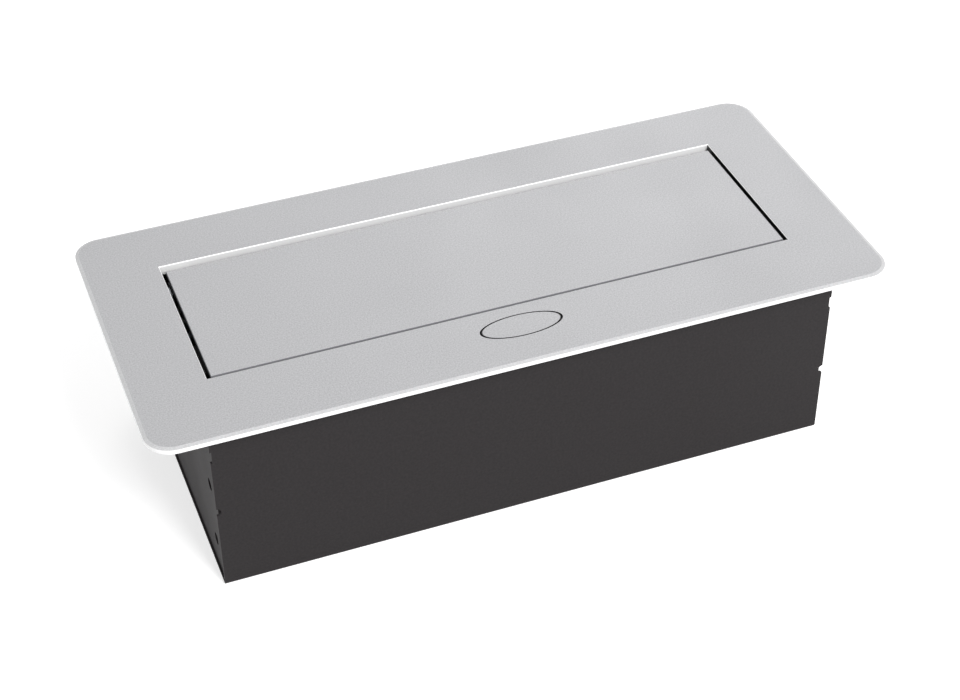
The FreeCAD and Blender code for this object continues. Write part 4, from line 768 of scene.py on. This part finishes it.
@dataclass
class SteelBox(SubAssembly):
    """Folded box under the bezel, its ends, and what is fixed to them."""

    weld_x: tuple[float, ...] = (-104.8, 104.8)
    weld_y: tuple[float, ...] = (-35.0, 0.0, 35.0)
    foot_top: float = 2.0
    weld_radius: float = 1.6
    weld: RingSection = RingSection(
        width=1.2, height=0.15, inner_wall=1 / 3, inner_chamfer=0.4, outer_chamfer=0.3,
        outer_top=0.7, inner_sunk=0.05, outer_sunk=0.05,
    )
    weld_sides: int = 32

    def build(self, palette: Palette) -> None:
        """Dresses the box and marks the spot welds on the feet of its ends.

        Args:
            palette: the finishes.
        """
        palette.dress("box_shell", "end_panel_left", "end_panel_right", "lid_rest_pads")
        palette.dress("pivot_pin_left", "pivot_pin_right")
        palette.dress("torsion_spring_left", "torsion_spring_right")
        welds = Solid()
        for spot in product(self.weld_x, self.weld_y, (self.foot_top,)):
            outline = self.weld.outline(self.weld_radius)
            welds.turning(outline, Matrix.Translation(spot), self.weld_sides)
        palette.hand_over(welds.make("foot_spot_welds"), Body.BOX, FinishName.CHARCOAL)


@dataclass
class PushButton(SubAssembly):
    """Oval button, its guide, its coil and the latch that it works."""

    stud_x: tuple[float, ...] = (-23.5, 23.5)
    stud_y: tuple[float, ...] = (-41.1,)
    stud_end: float = 64.5
    thread: Thread = Thread(radius=1.5, pitch=0.5, depth=0.12, length=1.5)

    def build(self, palette: Palette) -> None:
        """Dresses the button's group and threads the studs that hold its guide.

        Args:
            palette: the finishes.
        """
        palette.dress("button", finish=FinishName.SILVER_BUTTON)
        palette.dress("button_spring", "button_guide", "guide_nuts")
        palette.dress("latch_spring", "latch_screws")
        feet = product(self.stud_x, self.stud_y, (self.stud_end,))
        self.thread_studs(palette, "guide_stud_threads", Body.BOX, self.thread, feet)


@dataclass
class Carrier(SubAssembly):
    """Lid and the frame under it that swings up with the outlets."""

    stud_x: tuple[float, ...] = (-91.5, 91.5)
    stud_y: tuple[float, ...] = (-15.5, 17.0)
    stud_end: float = 65.5
    thread: Thread = Thread(radius=1.5, pitch=0.5, depth=0.12, length=0.5)

    def build(self, palette: Palette) -> None:
        """Dresses the swinging frame and threads the lid's studs.

        Args:
            palette: the finishes.
        """
        palette.dress("lid", "cheek_left", "cheek_right", "socket_panel", "back_cover")
        palette.dress("pivot_bush_left", "pivot_bush_right", "lid_nuts", "panel_rivets")
        palette.dress("stop_bumpers", "damper_sector", "sector_rivets")
        feet = product(self.stud_x, self.stud_y, (self.stud_end,))
        self.thread_studs(palette, "lid_stud_threads", Body.CARRIER, self.thread, feet)


@dataclass
class Damper(SubAssembly):
    """Rotary damper on the left end panel."""

    seam_foot: Point = (-104.6, 27.0, 40.0)
    radius: float = 9.0
    seam_width: float = 0.6
    seam_height: float = 0.12
    seam_sunk: float = 0.1
    seam_flat: tuple[float, float] = (0.25, 0.75)
    seam_sides: int = 64

    def build(self, palette: Palette) -> None:
        """Dresses housing, pinion and screws, and makes the weld seam of the housing's cap.

        Args:
            palette: the finishes.
        """
        palette.dress("damper_housing", "damper_pinion", "damper_screws")
        sunk, proud = self.radius - self.seam_sunk, self.radius + self.seam_height
        start, end = (self.seam_width * share for share in self.seam_flat)
        place = Matrix.Translation(self.seam_foot) @ Matrix.Rotation(QUARTER_TURN, 4, "Y")
        seam = Solid()
        seam.turning(
            [(sunk, 0.0), (proud, start), (proud, end), (sunk, self.seam_width)],
            place, self.seam_sides,
        )
        palette.hand_over(seam.make("damper_cap_seam"), Body.BOX, FinishName.BLACK)


@dataclass(frozen=True)
class PanelPlace:
    """Where the slanted panel and its modules stand as the carrier lies at rest."""

    opening_deg: float = 60.0
    sweep: float = 56.5
    pitch: float = 45.0
    modules: int = 4

    def of(self, number: int) -> Matrix:
        """Place of a module, counted from the left end.

        Args:
            number: one for the leftmost module.

        Returns:
            Its placement in millimetres: X along the row, Z out of the panel.
        """
        hinge = next(joint for joint in frame["joints"] if joint["name"] == "carrier_hinge")
        _, pivot_y, pivot_z = (metres / MM for metres in hinge["pos_m"])
        half = math.radians(self.opening_deg / 2)
        reach = self.sweep * math.cos(half)
        centre = Vector((
            (number - (self.modules + 1) / 2) * self.pitch,
            pivot_y - reach * math.cos(half),
            pivot_z - reach * math.sin(half),
        ))
        return Matrix.Translation(centre) @ Matrix.Rotation(QUARTER_TURN + half, 4, "X")


@dataclass
class OutletRow(SubAssembly):
    """Round-well outlets with their clips, contacts and screws."""

    place: PanelPlace = PanelPlace()
    outlets: int = 3
    front: float = 1.0
    floor: float = -16.5
    well_radius: float = 19.75
    pin_x: tuple[float, ...] = (-9.5, 9.5)
    pin_radius: float = 2.75
    pin_sides: int = 40
    rib_reach: float = 2.3
    rib_half: float = 2.4
    rib_mouth: float = 1.5
    rib_sunk: float = 0.3
    rib_foot_sunk: float = 0.1
    rib_edge: float = 0.5
    collar: RingSection = RingSection(
        width=0.8, height=0.35, inner_wall=0.6, inner_chamfer=0.25, outer_chamfer=0.25,
    )
    shutter_sink: float = 0.9
    shutter_thickness: float = 0.8
    shutter_play: float = 0.03
    dish_share: float = 0.45
    dish_depths: tuple[float, float] = (0.35, 0.45)
    rim: RingSection = RingSection(
        width=1.1, height=0.3, inner_wall=0.5, inner_chamfer=0.3, outer_chamfer=0.5, inner_sunk=0.2,
    )
    rim_sides: int = 96

    def build(self, palette: Palette) -> None:
        """Dresses the outlets and makes their guide ribs, pin hole collars, shutters and rims.

        Args:
            palette: the finishes.
        """
        for number in range(1, self.outlets + 1):
            palette.dress(f"socket_insert_{number}", f"earth_clip_{number}")
            place = self.place.of(number)
            for word, solid in (
                ("ribs", self._ribs()), ("collars", self._collars()),
                ("shutters", self._shutters()), ("rim", self._rim()),
            ):
                piece = solid.make(f"outlet_{number}_{word}", place)
                palette.hand_over(piece, Body.CARRIER, FinishName.INSERT)
        palette.dress("pin_contacts", "well_screws")

    def _ribs(self) -> Solid:
        """Two ribs on the well's sides that key the plug.

        Returns:
            Both ribs.
        """
        solid = Solid()
        inner, outer = self.well_radius - self.rib_reach, self.well_radius + self.rib_sunk
        foot, top = self.floor - self.rib_foot_sunk, self.front - self.rib_mouth
        for near, far in ((-outer, -inner), (inner, outer)):
            solid.block((near, -self.rib_half, foot), (far, self.rib_half, top), self.rib_edge)
        return solid

    def _collars(self) -> Solid:
        """Low rings round the pin holes.

        Returns:
            Both rings.
        """
        solid = Solid()
        outline = self.collar.outline(self.pin_radius)
        for x in self.pin_x:
            solid.turning(outline, Matrix.Translation((x, 0, self.floor)), self.pin_sides)
        return solid

    def _shutters(self) -> Solid:
        """Safety shutters that close the pin holes, each dished to lead the pin in.

        Returns:
            Both shutters.
        """
        solid = Solid()
        radius = self.pin_radius - self.shutter_play
        high = self.floor - self.shutter_sink
        low = high - self.shutter_thickness
        slope_end, middle = (high - depth for depth in self.dish_depths)
        outline = [
            (0.0, low), (radius, low), (radius, high), (radius * self.dish_share, slope_end),
            (0.0, middle),
        ]
        for x in self.pin_x:
            solid.turning(outline, Matrix.Translation((x, 0, 0)), self.pin_sides)
        return solid

    def _rim(self) -> Solid:
        """Raised ring round the well's mouth.

        Returns:
            The ring.
        """
        solid = Solid()
        outline = self.rim.outline(self.well_radius)
        solid.turning(outline, Matrix.Translation((0, 0, self.front)), self.rim_sides)
        return solid


@dataclass
class ChargingModule(SubAssembly):
    """Module with two ports at the right end of the row."""

    place: PanelPlace = PanelPlace()
    number: int = 4
    front: float = 1.0
    port_y: tuple[float, ...] = (-7.5, 7.5)
    pads: int = 4
    pad_pitch: float = 2.3
    pad_half: float = 0.5
    pad_low: float = -9.0
    pad_high: float = -2.0
    pad_thickness: float = 0.12
    pad_sunk: float = 0.05
    pad_edge: float = 0.04
    frame_x: float = 7.6
    frame_y: float = 3.7
    frame_width: float = 0.6
    frame_height: float = 0.25
    frame_sunk: float = 0.1
    frame_edge: float = 0.1

    def build(self, palette: Palette) -> None:
        """Dresses the module and makes the ports' contact pads and frames.

        Args:
            palette: the finishes.
        """
        palette.dress("usb_insert", "usb_ports")
        contacts, frames = Solid(), Solid()
        for port in self.port_y:
            for index in range(self.pads):
                x = (index - (self.pads - 1) / 2) * self.pad_pitch
                contacts.block(
                    (x - self.pad_half, port - self.pad_thickness, self.pad_low),
                    (x + self.pad_half, port + self.pad_sunk, self.pad_high), self.pad_edge,
                )
            self._port_frame(frames, port)
        place = self.place.of(self.number)
        palette.hand_over(contacts.make("port_contact_pads", place), Body.CARRIER, FinishName.BRASS)
        palette.hand_over(frames.make("port_frames", place), Body.CARRIER, FinishName.INSERT)

    def _port_frame(self, solid: Solid, port: float) -> None:
        """Low frame round one port: two long bars and two short ones between them.

        Args:
            solid: gets the bars.
            port: middle of the port.
        """
        x, y = self.frame_x, self.frame_y
        inner_x, inner_y = x - self.frame_width, y - self.frame_width
        low, high = self.front - self.frame_sunk, self.front + self.frame_height
        for near, far in ((-y, -inner_y), (inner_y, y)):
            solid.block((-x, port + near, low), (x, port + far, high), self.frame_edge)
        for near, far in ((-x, -inner_x), (inner_x, x)):
            solid.block((near, port - inner_y, low), (far, port + inner_y, high), self.frame_edge)


@dataclass
class SupplySide(SubAssembly):
    """Cable inlet, clamp, terminal block and earth stud in the bottom of the box."""

    earth_foot: Point = (40.0, 40.0, 5.5)
    thread: Thread = Thread(radius=2.0, pitch=0.7, depth=0.18, length=6.0)
    pole_x: tuple[float, ...] = (-6.0, 5.0, 16.0)
    entry_height: float = 7.4
    entry_radius: float = 1.97
    barrel_wall: float = 0.45
    barrel_front: float = 30.8
    barrel_rear: float = 49.2
    barrel_sides: int = 32

    def build(self, palette: Palette) -> None:
        """Dresses the supply side, threads the earth stud and lines the terminals with brass.

        Args:
            palette: the finishes.
        """
        palette.dress("cable_grommet", "cord_clamp", "cord_clamp_screws")
        palette.dress("terminal_block", "terminal_screws", "earth_stud", "earth_nut")
        self.thread_studs(palette, "earth_stud_thread", Body.BOX, self.thread, [self.earth_foot])
        inner, outer = self.entry_radius - self.barrel_wall, self.entry_radius
        length = self.barrel_rear - self.barrel_front
        outline = [(inner, 0), (outer, 0), (outer, length), (inner, length)]
        forward = Matrix.Rotation(QUARTER_TURN, 4, "X")
        barrels = Solid()
        for x in self.pole_x:
            place = Matrix.Translation((x, self.barrel_rear, self.entry_height)) @ forward
            barrels.turning(outline, place, self.barrel_sides)
        palette.hand_over(barrels.make("terminal_barrels"), Body.BOX, FinishName.BRASS)


@dataclass(frozen=True)
class Viewpoint:
    """Where the photograph was taken from, in the part's own frame."""

    place_mm: Point = (-197.56, -529.94, 491.23)
    azimuth_deg: float = -20.477
    elevation_deg: float = 39.214
    roll_deg: float = -0.524
    focal_px: float = 1999.3
    nearest_m: float = 0.05
    farthest_m: float = 20.0

    def build(self) -> None:
        """Makes the camera and sets it as the scene's."""
        data = bpy.data.cameras.new("view")
        data.sensor_width = SENSOR_WIDTH
        data.lens = self.focal_px / PHOTO_WIDTH * SENSOR_WIDTH
        data.clip_start, data.clip_end = self.nearest_m, self.farthest_m
        azimuth, elevation = math.radians(self.azimuth_deg), math.radians(self.elevation_deg)
        forward = Vector((
            -math.sin(azimuth) * math.cos(elevation),
            math.cos(azimuth) * math.cos(elevation),
            -math.sin(elevation),
        ))
        aimed = forward.to_track_quat("-Z", "Y").to_matrix().to_4x4()
        rolled = Matrix.Rotation(math.radians(self.roll_deg), 4, "Z")
        camera = bpy.data.objects.new("view", data)
        camera.matrix_world = Matrix.Translation(Vector(self.place_mm) * MM) @ aimed @ rolled
        bpy.context.scene.collection.objects.link(camera)
        bpy.context.scene.camera = camera


@dataclass(frozen=True)
class Softbox:
    """A square area lamp that looks at a point of the object, in metres and watts."""

    name: str
    place: Point
    size: float
    power: float
    aim: Point = (0.0, 0.0, 0.04)

    def build(self) -> None:
        """Makes the lamp and turns it towards its aim."""
        data = bpy.data.lights.new(self.name, "AREA")
        data.shape, data.size, data.energy = "SQUARE", self.size, self.power
        lamp = bpy.data.objects.new(self.name, data)
        towards = Vector(self.aim) - Vector(self.place)
        aimed = towards.to_track_quat("-Z", "Y").to_matrix().to_4x4()
        lamp.matrix_world = Matrix.Translation(Vector(self.place)) @ aimed
        bpy.context.scene.collection.objects.link(lamp)


@dataclass(frozen=True)
class Studio:
    """A pale floor, a white surround and soft lamps."""

    white: str = "#ffffff"
    floor_half: float = 6.0
    floor_colour: str = "#e6e6e6"
    floor_lift: float = 0.57
    ambient: float = 0.40
    lamps: tuple[Softbox, ...] = (
        Softbox("key", (0.8, -2.3, 2.15), 1.2, 96.0),
        Softbox("right_rear", (0.85, 1.5, 0.95), 1.2, 9.0),
        Softbox("front", (0.9, -0.8, 0.4), 0.5, 2.0),
        Softbox("left", (-1.3, 0.4, 0.9), 0.9, 3.5),
    )

    def build(self) -> None:
        """Builds floor, surround and lamps."""
        self._floor()
        self._surround()
        for lamp in self.lamps:
            lamp.build()

    def _background_rays(self, tree: Tree) -> Socket:
        """One for rays that show the background: seen directly, mirrored or through glass.

        Args:
            tree: the floor's or the world's node tree.

        Returns:
            The mask.
        """
        path = add_node(tree, "ShaderNodeLightPath").outputs
        shown = path["Is Camera Ray"]
        for ray in ("Is Glossy Ray", "Is Transmission Ray"):
            shown = add_node(
                tree, "ShaderNodeMath", {"operation": "MAXIMUM"}, {0: shown, 1: path[ray]}
            ).outputs[0]
        return shown

    def _floor(self) -> None:
        """Pale card under the object, lifted to white where it shows, but darkened by shadow.

        The lift is a glow for background rays alone, so it puts no light on the object.
        """
        mesh = bpy.data.meshes.new("floor")
        half = self.floor_half
        corners = [(-half, -half, 0), (half, -half, 0), (half, half, 0), (-half, half, 0)]
        mesh.from_pydata(corners, [], [(0, 1, 2, 3)])
        floor = bpy.data.objects.new("floor", mesh)
        bpy.context.scene.collection.objects.link(floor)
        material, tree = new_material("white_card")
        card = add_node(
            tree, "ShaderNodeBsdfDiffuse", inputs={"Color": linear(self.floor_colour)}
        ).outputs["BSDF"]
        lift = add_node(
            tree, "ShaderNodeMath", {"operation": "MULTIPLY"},
            {0: self._background_rays(tree), 1: self.floor_lift},
        ).outputs[0]
        glow = add_node(
            tree, "ShaderNodeEmission", inputs={"Color": linear(self.white), "Strength": lift}
        ).outputs["Emission"]
        both = add_node(tree, "ShaderNodeAddShader", inputs={0: card, 1: glow}).outputs["Shader"]
        add_node(tree, "ShaderNodeOutputMaterial", inputs={"Surface": both})
        mesh.materials.append(material)

    def _surround(self) -> None:
        """World that shows white and lights the object evenly from all sides."""
        world = bpy.data.worlds.new("surround")
        world.use_nodes = True
        bpy.context.scene.world = world
        tree = world.node_tree
        tree.nodes.clear()
        strength = add_node(
            tree, "ShaderNodeMapRange",
            inputs={"Value": self._background_rays(tree), "To Min": self.ambient, "To Max": 1.0},
        ).outputs["Result"]
        background = add_node(
            tree, "ShaderNodeBackground", inputs={"Color": linear(self.white), "Strength": strength}
        ).outputs["Background"]
        add_node(tree, "ShaderNodeOutputWorld", inputs={"Surface": background})


def main() -> None:
    """Dresses the part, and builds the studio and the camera."""
    logging.basicConfig(level=logging.INFO, format="%(message)s")
    bpy.context.scene.view_settings.view_transform = "Standard"
    Viewpoint().build()
    palette = Palette(frame["record"])
    for assembly in (
        BezelPlate(), SteelBox(), PushButton(), Carrier(), Damper(), OutletRow(), ChargingModule(),
        SupplySide(),
    ):
        LOG.info("building %s", type(assembly).__name__)
        assembly.build(palette)
    Studio().build()


if __name__ == "__main__":
    main()
